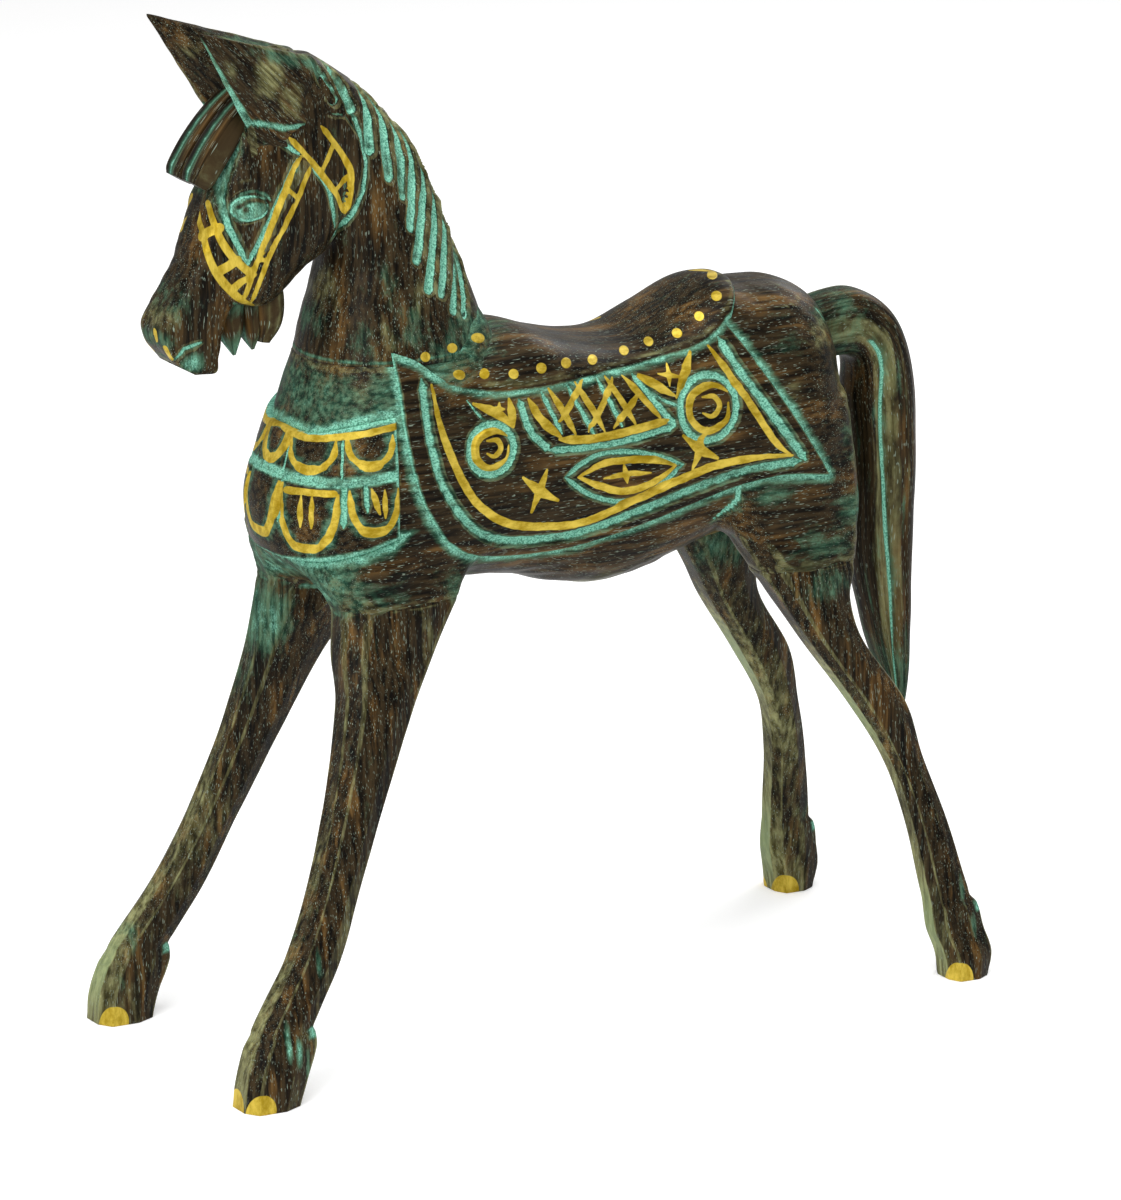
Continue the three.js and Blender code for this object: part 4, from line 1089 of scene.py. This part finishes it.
bridle = [
    ([(-141.2, 435.6), (-149.7, 420.2), (-161.3, 393.6), (-169.5, 369)], 2.7, 0.06),
    ([(-135.9, 430.8), (-145.2, 412.8), (-156.7, 391.7), (-165, 367.5)], 2.7, 0.06),
    ([(-148.5, 421), (-143.5, 416)], 2.0, 0.06), ([(-162.5, 389), (-158, 388)], 2.0, 0.06),
]
noseband = [
    ([(-184.1, 0, 414.2), (-187.2, -6, 407), (-186.6, -10, 402.1), (-182.6, -15, 386.3),
      (-176.5, -17, 375.5), (-168.9, -17, 366.8)], 3.2),
    ([(-182.4, -8, 415.6), (-180.4, -14, 404), (-174.2, -17, 392), (-165.2, -18, 382.1)], 3.2),
    ([(-187.5, -10, 401), (-184.5, -12.5, 403.5), (-180, -15, 405.5)], 4.4),
    ([(-181.5, -15.5, 385), (-178, -17, 387), (-173, -18, 390)], 4.2),
    ([(-176, -17, 375.5), (-172, -18, 379), (-167.5, -18, 380.5)], 3.0),
    ([(-205.2, -9, 351), (-203.4, -9, 345.5)], 2.8), ([(-209.6, -4, 357.5), (-209, -4, 354)], 3.6),
]


def carve_head(m):
    """Eye, cheek and bridle in the side view; both sides of the head are the same."""
    carve(m, head_gouges, bridle)
    m.gold = np.where(side_only < 0.35, no_gold, m.gold)
    m.gouge([(-202.6, 345), (-198.5, 350), (-190, 352)], 2.4, 1.2, 0.95, 1.6, 0.3)
    m.brush((-194, 342, 9, .75), (-203, 375, 9, .3, 2), (-208, 354, 8, .45), (-168, 452, 10, .6))
    m.wear((-206, 365, 8, .35, 1.8))


carve_head(head_marks)
mirrored = head_points * (1, 0, 1) - np.abs(head_points) * (0, 1, 0)
for path, width in noseband:
    head_marks.stroke(mirrored, path, width)
head_marks.gold = np.where((hy > -3) & (hy < 7) & (hz > 340), no_gold, head_marks.gold)
carve_crown(head_marks)
head_marks.cut *= side_only
brow = np.hypot((hx + 167) / 11, (hz - 417) / 7)
eye_ball = np.hypot((hx + 167.5) / 8.5, (hz - 414) / 5.2)
head_lift = side_only * (-1.6 * (1 - ramp(brow, 0.5, 1.5)) + 1.9 * np.sqrt(np.clip(1 - eye_ball ** 2, 0, 1)))
head_marks.soak(0.8 * (1 - ramp(eye_ball, 1.0, 1.35)) * side_only)
lid_line = bend([(-173, 415), (-167, 417.6), (-160, 416.4), (-156, 413.6)])
lid_shade = line_distance(head_marks.x, head_marks.z, lid_line)[0]
head_marks.wash *= 0.35 + 0.65 * ramp(lid_shade, 0.4, 1.4)
pupil = np.hypot(hx + 169.7, hz - 413.7)
head_marks.wash *= 0.4 + 0.6 * ramp(pupil, 0.8, 2.0)
head_lift += hand(hx, hz + hy, 0.25, 10)
round_piece("head_skin", "neck_and_head", head_points, head_normal, head_marks, xyz(head_s, hx, hy), head_lift)

# %% [markdown]
# ## Ears, forelock and beard
# The ears stand out from the poll as two long five-sided points. Each is the inner side of five planes
# through its tip, blended into head and neck, and found by rays square to its middle line. The
# forelock and the beard are small blocks of hair, lofted along a middle line.

# %% Ears
ear_tip = np.array([-197, 26, 500.5])
ear_corners = np.array([
    (-170, 19, 454), (-138, 22.5, 449), (-131, 11, 480), (-134, 1.5, 476), (-158, 2.5, 462),
])
ear_root = ear_corners.mean(0)
ear_faces = []
for corner, following in zip(ear_corners, np.roll(ear_corners, -1, 0)):
    face = np.cross(following - corner, ear_tip - corner)
    face /= np.linalg.norm(face)
    ear_faces.append(face * np.sign(((corner - ear_root) * face).sum()))
ear_line = (ear_root - ear_tip) / np.linalg.norm(ear_root - ear_tip)
ear_length = ((ear_root - ear_tip) * ear_line).sum()


def ear_distance(x, y, z):
    """A five-sided point: the highest of the distances beyond its five planes through the tip."""
    p = np.stack([x, np.abs(y), z], -1) - ear_tip
    result = (p * ear_line).sum(-1) - ear_length * 1.3
    for face in ear_faces:
        result = blend_max(result, (p * face).sum(-1), 0.8)
    return result


def ear_in_head(x, y, z):
    """The ear as it runs into head and neck, with a narrow hollow where they meet."""
    near = blend_min(head_distance(x, y, z), column_distance(x, y, z), 3)
    return blend_min(ear_distance(x, y, z), near, 4)


ear_t = np.concatenate([np.linspace(0.012, 0.2, 30), np.linspace(0.21, 1.2, 150)])[:, None]
ear_turn = full_turn(150)
ear_side = np.cross(ear_line, (0, 0, 1.0))
ear_side /= np.linalg.norm(ear_side)
ear_up = np.cross(ear_side, ear_line)
ear_out = np.cos(ear_turn)[..., None] * ear_up + np.sin(ear_turn)[..., None] * ear_side + 0 * ear_t[..., None]
ear_hub = ear_tip + ear_line * ear_length * ear_t[..., None] + 0 * ear_out


def face_rim(face):
    """How far along each ray one of the five planes lies; 99 where the ray runs away from it."""
    toward = (ear_out * face).sum(-1)
    return np.where(toward > 0.02, -((ear_hub - ear_tip) * face).sum(-1) / np.maximum(toward, 0.02), 99)


rim = np.min([face_rim(face) for face in ear_faces], 0)
ear_points = skin(ear_in_head, ear_hub + ear_out * (rim + 7)[..., None], -ear_out, rim + 7, 24)
ex, ey, ez = np.moveaxis(ear_points, -1, 0)
ear_dive = (1.8 + 2.4 * ramp(ex, -140, -130)) * ramp(ear_distance(ex, ey, ez), 1.0, 4.0)
ear_dive += 3.2 * ramp(ear_t, 1.06, 1.2)
ear_points = ear_points - ear_out * ear_dive[..., None]
ear_normal = grid_normals(ear_points, ear_out, True)
ear_marks = Marks(ex, ez)
foot = line_distance(ex, ez, bend([(-172, 455), (-160, 452.5), (-148, 449.5), (-139, 447)]))[0]
ear_marks.soak(0.9 * (1 - ramp(foot, 0.8, 2.6)) * (ey > 8))
ridge = np.abs(ez - 482 - (ex + 150) * -0.3)
ear_marks.soak(0.5 * ramp(ex, -176, -150) * (1 - ramp(ridge, 1, 6)))
ear_marks.wear((-157, 474, 16, 0.55), (-146, 462, 14, 0.4), (-178, 482, 10, 0.3))
carve_crown(ear_marks)
front_edge = ear_corners[0] - ear_tip
ear_share = np.clip(((ear_points - ear_tip) @ front_edge) / (front_edge @ front_edge), 0, 1)
from_edge = np.linalg.norm(ear_points - ear_tip - ear_share[..., None] * front_edge, axis=-1)
wedge = (1 - ramp(from_edge, 0.4 + 3.2 * ear_share, 0.9 + 4.0 * ear_share)) * ramp(ear_share, 0.03, 0.2)
for side, way in (("right", 1), ("left", -1)):
    round_piece(
        f"ear_{side}", "neck_and_head", ear_points * (1, way, 1), ear_normal * (1, way, 1), ear_marks,
        xyz(ez - ex, ex + ez, ey), hand(ex, ez, 0.15, 8),
    )
    ear_marks.soak(0.85 * wedge)  # only the left ear, which is made next, shows the wash on its front edge


# %% Forelock and beard
def lock_piece(name, stations, square, fill, wash):
    """A lock of carved hair: sections square to its middle line, given by x, y, z and two half sizes.
    |a|^square + |b|^square = 1 is the section; wash lies in a stripe down its front, and fill all over."""
    table = smooth_table([(k,) + row for k, row in enumerate(stations)])
    at = np.linspace(0, len(stations) - 1, 60)[:, None]
    angle = full_turn(64)
    x, y, z, deep, half = (table(at, k) for k in range(1, 6))
    a, b = rounded(np.cos(angle), square), rounded(np.sin(angle), square)
    dx, dz = np.gradient(x[:, 0])[:, None], np.gradient(z[:, 0])[:, None]
    size = np.hypot(dx, dz)
    points = xyz(x + deep * a * dz / size, y + half * b, z - deep * a * dx / size)
    normal = grid_normals(points, points - xyz(x, y, z), True)
    marks = Marks(points[..., 0], points[..., 2])
    stripe = (1 - ramp(np.abs(b), 0.25, 0.6)) * (a > 0)
    marks.wash += np.maximum(wash * stripe, fill * (0.6 + 0.4 * np.sin(at * 3)))
    marks.rub_and_shade += 0.15
    lock = round_piece(name, "neck_and_head", points, normal, marks, xyz(at * 6, angle * 4, 0))
    lock.data.set_sharp_from_angle(angle=np.radians(24))


for name, side in (("left", -1), ("right", 1)):
    lock_piece(f"forelock_{name}", [
        (-158, 7 * side, 464, 4, 5), (-169, 7.3 * side, 453, 6, 6.2), (-179, 7.6 * side, 440.5, 6.8, 6.6),
        (-187, 7.8 * side, 429, 6.2, 6.6), (-189.5, 7.8 * side, 425, 4.6, 5.6),
    ], 7, 0.0, 0.8)
for name, stations, square, fill, wash in [
    ("beard_front", [(-168, 0, 376, 6, 8), (-169.5, 0, 362, 6.4, 9), (-168.4, 0, 352, 5.2, 8),
                     (-165.6, 0, 340, 0.8, 0.8)], 3, 0.6, 0.85),
    ("beard_middle", [(-160, 0, 376, 4.4, 8), (-159, 0, 360, 4, 9), (-158, 0, 350, 3.2, 8),
                      (-155.8, 0, 341.5, 0.8, 0.8)], 3, 0.34, 0.7),
    ("jaw_lobe", [(-152, 0, 380, 7, 10), (-150.5, 0, 366, 7.8, 11.5), (-150.8, 0, 355, 6.8, 11),
                  (-152.5, 0, 345.5, 3.2, 7)], 3.4, 0.0, 0.0),
]:
    lock_piece(name, stations, square, fill, wash)

# %% [markdown]
# ## Legs
# Each leg is its own block, glued up against a flat seam. The knife left long flat facets with narrow
# edges, a notch over the hoof, and a flat sole. Level rays towards the leg's middle meet the same
# blended figure as the body, so leg and body agree at the seam.

# %% Legs
# Half-moons of gold on each hoof, by the way that they face; how pale each facet is, from front to
# rear, partly wear and partly painted light and shade that sets the facets apart; and patches of
# wash, as for the body.
dabs = {
    "front_left": [(-0.65, 0.76), (-1.0, -0.15)], "front_right": [(-0.65, -0.76), (-0.65, 0.76)],
    "hind_left": [(-0.65, 0.76)], "hind_right": [(-0.65, -0.76), (-0.65, 0.76)],
}
facet_wear_and_shade = {
    "front_left": (.6, .12, .02, .38, .6, .5), "front_right": (.85, .5, .3, .2, .1, .2),
    "hind_left": (.85, .3, .02, .1, .45, .6), "hind_right": (.9, .6, .45, .2, .05, .1),
}
leg_brushed = {
    "front_left": [(-186, 32, 3, .85, 5), (-181, 26, 3, .75, 4), (-176, 20, 2.5, .6, 5), (-171, 84, 3, .7, 5),
                   (-166, 66, 2.5, .6, 5)],
    "front_right": [(-138, 200, 26, .7, 1.2), (-144, 176, 12, .6, 2.2), (-153, 158, 6, .4, 3),
                    (-190, 45, 4, .4, 4), (-198, 20, 4, .3, 3)],
    "hind_left": [(192, 26, 3, .5, 4), (188, 45, 3, .45, 4), (128, 200, 26, .4, .5)],
    "hind_right": [(118, 202, 26, .5, .9), (150, 170, 5, .4, 3), (190, 45, 3, .35, 4)],
}
dab_radius, dab_squash = 7, 0.72
for quarter_name, plan in leg_plans.items():
    z = np.concatenate([np.linspace(0.02, 48, 90), np.linspace(48.6, plan["seam"] + 3, 213)])[:, None]
    turn = full_turn(150)
    out = xyz(np.cos(turn), np.sin(turn), 0 * z)
    middle_x, middle_out = leg_middle(plan, z)
    hub = xyz(middle_x, middle_out, z + 0 * turn)

    def own_distance(x, y, z):
        """The figure round this leg only, with crisper facets towards the hoof."""
        leg = leg_distance(plan, x, y, z, 0.15 + 0.85 * ramp(z, 120, 200))
        whole = blend_min(trunk_distance(x, y, z), leg, leg_blend(x, z))
        return np.maximum(whole, leg - leg_clear)

    points = skin(own_distance, hub + out * 62, -out, 62, 20)
    normal = grid_normals(points, out, True)
    lx, ly, lz = np.moveaxis(points, -1, 0)
    facets = np.array(leg_facets(plan, lx, ly, lz))
    facet = facets.argmax(0)
    second, highest = np.sort(facets, 0)[-2:]
    broken = ramp(np.sin(lz / 9 + facet * 2) + np.sin(lz / 3.7), -0.8, 1.6)
    knife_edge = (1 - ramp(highest - second, 0.05, 0.5)) * broken
    ahead, beside = lx - middle_x, ly - middle_out
    rise = plan["seam"] - lz
    lift = hand(lx + ly, lz, 0.12, 30) * ramp(lz, 0, 3) * ramp(rise, 0, 12)
    lift += hand(lx + ly, lz - ly * 0.6, 0.35, 14) * (1 - ramp(rise, 0, 12)) - 0.5 * ramp(-rise, 1, 3)
    for side, way in (("right", 1), ("left", -1)):
        name = f"{quarter_name}_{side}"
        marks = Marks(lx, lz)
        for dx, dy in dabs[name]:
            size = np.hypot(dx, dy)
            along = (ahead * -dy + beside * dx) / size
            from_dab = np.hypot(along, dab_squash * lz) - dab_radius
            marks.gild(np.where(ahead * dx + beside * dy > 0, from_dab, no_gold))
        low = 1.0 if quarter_name == "hind" else 0.35 + 0.65 * (1 - ramp(lz, 80, 135))
        uneven = low * (0.75 + 0.25 * np.sin(lz / 17 + facet))
        # Each facet gets its own paleness: partly wear, and partly painted light and shade so that the facets
        # read apart.
        marks.rub_and_shade = np.array(facet_wear_and_shade[name])[facet] * ramp(rise, 0, 50) * uneven
        marks.rub_and_shade = np.maximum(marks.rub_and_shade, 0.32 * knife_edge * ramp(rise, 25, 90))
        marks.brush(*leg_brushed[name])
        heel = ramp(ahead, 7, 10) * (1 - ramp(np.abs(lz - 34), 1.5, 4))
        marks.soak(0.9 * heel)
        marks.handle()
        flip, node = (1, way, 1), f"leg_{name}"
        grain = xyz(lz, lx, ly)
        leg_skin = round_piece(f"leg_skin_{name}", node, points * flip, normal * flip, marks, grain, lift)
        leg_skin.data.set_sharp_from_angle(angle=np.radians(13))

# %% [markdown]
# ## Tail
# The tail stands out from the rump, turns down and hangs close behind the hind legs. Its section is
# an oval with a deep groove on either side and finer ones between, drawn along the middle line.

# %% Tail
tail_rows = smooth_table([
    (0, 136, 309, 15, 13, 0), (1, 160, 313, 16, 14, 0), (2, 174, 311, 16.5, 15, 14), (3, 184, 298, 17, 16, 45),
    (4, 188, 274, 17, 17, 78), (5, 190, 240, 16, 17, 90), (6, 190, 200, 15, 16, 92), (7, 194, 160, 11, 13, 95),
    (8, 199, 130, 6.5, 9, 98), (9, 203, 108, 1.2, 2, 98),
])
tail_at = np.linspace(0, 9, 300)[:, None]
tail_turn = full_turn(150)
tx, tz, deep, half, bow = (tail_rows(tail_at, k) for k in range(1, 6))
bow = np.radians(bow)
c, s = rounded(np.cos(tail_turn), 2.8), rounded(np.sin(tail_turn), 2.8)
hair = ramp(tail_at, 1.6, 2.6)
wander = tail_turn + 0.12 * np.sin(tail_at * 1.7)
deep_cut = np.exp(-((np.cos(wander + 0.25) / 0.13) ** 2))
fine_cut = np.clip(np.cos(wander * 9 + 0.7 * np.sin(tail_at * 2.3)), 0, 1) ** 2
shrink = 1 - hair * (0.17 * deep_cut + 0.035 * fine_cut)
tail_points = xyz(tx + deep * c * np.sin(bow), half * s * shrink, tz + deep * c * np.cos(bow))
tail_normal = grid_normals(tail_points, tail_points - xyz(tx, 0, tz), True)
tail_marks = Marks(tail_points[..., 0], tail_points[..., 2])
tail_marks.soak(hair * deep_cut * 0.62)
tail_marks.soak(0.36 * hair * fine_cut * ramp(np.sin(tail_at * 3 + tail_turn * 2), 0, 1))
tail_marks.soak(0.34 * (1 - ramp(tail_at, 1.2, 2.6)))
tail_marks.soak(0.4 * ramp(tail_at, 6.6, 7.6))
tail_marks.rub_and_shade = 0.5 * ramp(np.sin(tail_turn * 3 + 0.2 * tail_at), 0.3, 0.9)
tail_grain = xyz(tail_at * 28, tail_turn * 15, 0 * tail_at)
tail_lift = hand(tail_points[..., 0], tail_points[..., 2], 0.15, 26)
round_piece("tail_skin", "tail", tail_points, tail_normal, tail_marks, tail_grain, tail_lift)

# %% [markdown]
# ## Finishes
# The wood is stained nearly black-brown and waxed. Open pores show as short pale ticks along the
# grain, because the blue-green wash stays in them. Paint and wash are decided for each place by the
# attributes of the mesh, and noise breaks their edges as a brush does.

# %% Node helpers
def linear(red, green, blue):
    """A colour written in screen values from 0 to 255, as the light values the nodes expect."""
    c = np.array([red, green, blue]) / 255
    return (*np.where(c <= 0.04045, c / 12.92, ((c + 0.055) / 1.055) ** 2.4), 1.0)


class Bench:
    """Adds nodes to one material and joins them."""

    def __init__(self, name):
        self.material = bpy.data.materials.new(name)
        self.material.use_nodes = True
        self.tree = self.material.node_tree
        self.shader = self.tree.nodes["Principled BSDF"]

    def add(self, kind, settings=(), **inputs):
        """A node with its settings, and with values or other nodes' outputs on its inputs."""
        node = self.tree.nodes.new(kind)
        for key, value in dict(settings).items():
            setattr(node, key, value)
        for key, value in inputs.items():
            self.feed(node.inputs[key], value)
        return node

    def feed(self, socket, value):
        """Link an output to a socket, or write a plain value there."""
        if isinstance(value, bpy.types.NodeSocket):
            self.tree.links.new(value, socket)
        else:
            socket.default_value = value

    def read(self, name):
        """An attribute of the mesh."""
        node = self.add("ShaderNodeAttribute", {"attribute_name": name})
        return node.outputs["Vector" if name == "grain" else "Fac"]

    def maths(self, kind, a, b):
        node = self.add("ShaderNodeMath", {"operation": kind})
        self.feed(node.inputs[0], a)
        self.feed(node.inputs[1], b)
        return node.outputs[0]

    def times(self, a, b):
        return self.maths("MULTIPLY", a, b)

    def plus(self, a, b):
        return self.maths("ADD", a, b)

    def waver(self, noise, strength):
        """Noise that swings round 0."""
        return self.times(self.maths("SUBTRACT", noise, 0.5), strength)

    def between(self, value, low, high, to_low=0.0, to_high=1.0):
        """to_low below low, to_high above high, an S curve between."""
        node = self.add("ShaderNodeMapRange", {"interpolation_type": "SMOOTHSTEP"})
        for socket, entry in zip(node.inputs, (value, low, high, to_low, to_high)):
            self.feed(socket, entry)
        return node.outputs[0]

    def noise(self, vector, stretch, detail=2.0, rough=0.5):
        """Noise with its own scale along each axis of vector."""
        mapping = self.add("ShaderNodeMapping")
        self.feed(mapping.inputs["Vector"], vector)
        mapping.inputs["Scale"].default_value = stretch
        node = self.add("ShaderNodeTexNoise", Detail=detail, Roughness=rough, Scale=1.0)
        self.feed(node.inputs["Vector"], mapping.outputs[0])
        return node.outputs["Fac"]

    def mix(self, share, first, second):
        """The first colour at share 0, the second at share 1."""
        node = self.add("ShaderNodeMix", {"data_type": "RGBA"})
        for socket, value in zip((node.inputs[0], node.inputs[6], node.inputs[7]), (share, first, second)):
            self.feed(socket, value)
        return node.outputs[2]


# %% Stained, washed and painted wood
def carved_wood(name, warm=1.0, narrow=1.0):
    """Stained wood with pores, wear, wash and gold; on the legs the wear also holds painted light and
    shade, a paleness of its own for each facet. warm is the amount of amber; narrow draws the
    clouds of the stain out along the grain."""
    b = Bench(name)
    grain = b.read("grain")
    wash, wear_and_shade, hollow, gold_gap = (b.read(key) for key in ("wash", "wear_and_shade", "hollow", "gold_gap"))
    streak = b.noise(grain, (0.025, 0.42, 0.42), 4.0, 0.6)
    cloud = b.noise(grain, (0.017 / narrow ** 0.5, 0.065 * narrow, 0.065 * narrow), 3.0, 0.55)
    flow = b.noise(grain, (0.08, 0.18, 0.18), 6.0, 0.68)
    grit = b.noise(grain, (1.0, 1.5, 1.5), 3.0, 0.7)
    pore = b.noise(grain, (0.3, 2.9, 2.9), 0.0, 0.4)

    dark = b.mix(b.between(streak, 0.35, 0.68), linear(11, 9, 6), linear(57, 46, 29))
    amber = b.mix(b.between(streak, 0.35, 0.65), linear(60, 42, 20), linear(124, 92, 48))
    wood = b.mix(b.times(b.between(cloud, 0.5, 0.7), 0.6 * warm), dark, amber)

    # The pale mix below is wear; on the legs it also carries painted light and shade, one tone for each facet.
    edge_worn = b.times(b.between(hollow, -0.03, -0.15), 0.5)
    worn = b.plus(b.maths("MAXIMUM", edge_worn, wear_and_shade), b.waver(flow, 1.2))
    worn = b.times(b.between(worn, 0.12, 0.85), b.between(wear_and_shade, -0.5, 0.5))
    khaki = b.mix(b.between(streak, 0.3, 0.7), linear(82, 76, 40), linear(170, 172, 120))
    pale = b.mix(b.between(wear_and_shade, 0.6, 1.1), khaki, linear(150, 172, 124))
    wood = b.mix(b.times(worn, 0.85), wood, pale)

    ticks = b.times(b.between(pore, 0.71, 0.765), b.between(cloud, 0.36, 0.56, 0.35, 1.0))
    wood = b.mix(b.times(ticks, 0.7), wood, linear(150, 166, 148))

    amount = b.plus(wash, b.times(b.between(hollow, 0.02, 0.3), 0.6))
    amount = b.plus(amount, b.waver(flow, 1.5))
    amount = b.plus(amount, b.waver(grit, 0.45))
    veil = b.between(amount, 0.12, 0.72)
    pool = b.between(amount, 0.58, 1.15)
    thin_wash = b.mix(b.between(streak, 0.35, 0.65), linear(32, 68, 51), linear(88, 128, 102))
    full_wash = b.mix(b.between(grit, 0.35, 0.62), linear(62, 129, 107), linear(145, 211, 186))
    body = b.mix(pool, b.mix(b.times(veil, 0.8), wood, thin_wash), full_wash)

    ragged = b.plus(gold_gap, b.waver(flow, 0.9))
    gilt = b.between(ragged, 0.18, -0.18)
    gold = b.mix(b.between(flow, 0.34, 0.66), linear(156, 130, 26), linear(216, 190, 78))
    b.feed(b.shader.inputs["Base Color"], b.mix(gilt, body, gold))

    dull = b.maths("MAXIMUM", b.times(veil, 0.28), b.times(gilt, 0.02))
    b.feed(b.shader.inputs["Roughness"], b.plus(b.between(streak, 0.3, 0.7, 0.3, 0.42), dull))
    b.feed(b.shader.inputs["Metallic"], b.times(gilt, 0.5))
    height = b.plus(b.times(ticks, -0.5), b.times(grit, b.times(veil, 0.7)))
    height = b.plus(height, b.times(streak, 0.6))
    height = b.plus(height, b.times(gilt, 0.4))
    bump = b.add("ShaderNodeBump", Strength=0.4, Distance=0.0006)
    b.feed(bump.inputs["Height"], height)
    b.feed(b.shader.inputs["Normal"], bump.outputs[0])
    b.shader.inputs["Specular IOR Level"].default_value = 0.06
    return b.material


finishes = {
    "body_wood": carved_wood("stained body wood"), "head_wood": carved_wood("stained head wood", 0.8),
    "leg_wood": carved_wood("stained leg wood", 1.0, 2.6), "tail_wood": carved_wood("stained tail wood", 0.9),
}
for piece in pieces:
    piece.data.materials.append(finishes[piece["slot"]])


# %% Dowels and floor
def dowel_wood():
    """Bare hardwood with fine rings along the dowel, read from the object's own coordinates."""
    b = Bench("bare dowel wood")
    place = b.add("ShaderNodeTexCoord").outputs["Object"]
    line = b.noise(place, (900, 900, 60), 3.0)
    colour = b.mix(b.between(line, 0.35, 0.65), linear(186, 150, 104), linear(212, 180, 134))
    b.feed(b.shader.inputs["Base Color"], colour)
    b.shader.inputs["Roughness"].default_value = 0.7
    return b.material


bare = dowel_wood()
for name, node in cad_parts.items():
    if "dowel" in name:
        for socket in node.material_slots:
            socket.material = bare

sheet = bpy.data.meshes.new("studio floor")
sheet_size, sheet_height = 6, -0.0002  # in metres; just under the soles
sheet.from_pydata(
    [(x * sheet_size, y * sheet_size, sheet_height) for x, y in [(-1, -1), (1, -1), (1, 1), (-1, 1)]],
    [], [(0, 1, 2, 3)],
)
floor = bpy.data.objects.new("studio_floor", sheet)
bpy.context.collection.objects.link(floor)
b = Bench("white sweep")
b.shader.inputs["Base Color"].default_value = (0.9, 0.9, 0.9, 1)
b.shader.inputs["Roughness"].default_value = 0.9
b.shader.inputs["Specular IOR Level"].default_value = 0.1
b.shader.inputs["Emission Color"].default_value = (1, 1, 1, 1)
seen = b.add("ShaderNodeLightPath").outputs["Is Camera Ray"]
b.feed(b.shader.inputs["Emission Strength"], b.times(seen, 0.3))
floor.data.materials.append(b.material)
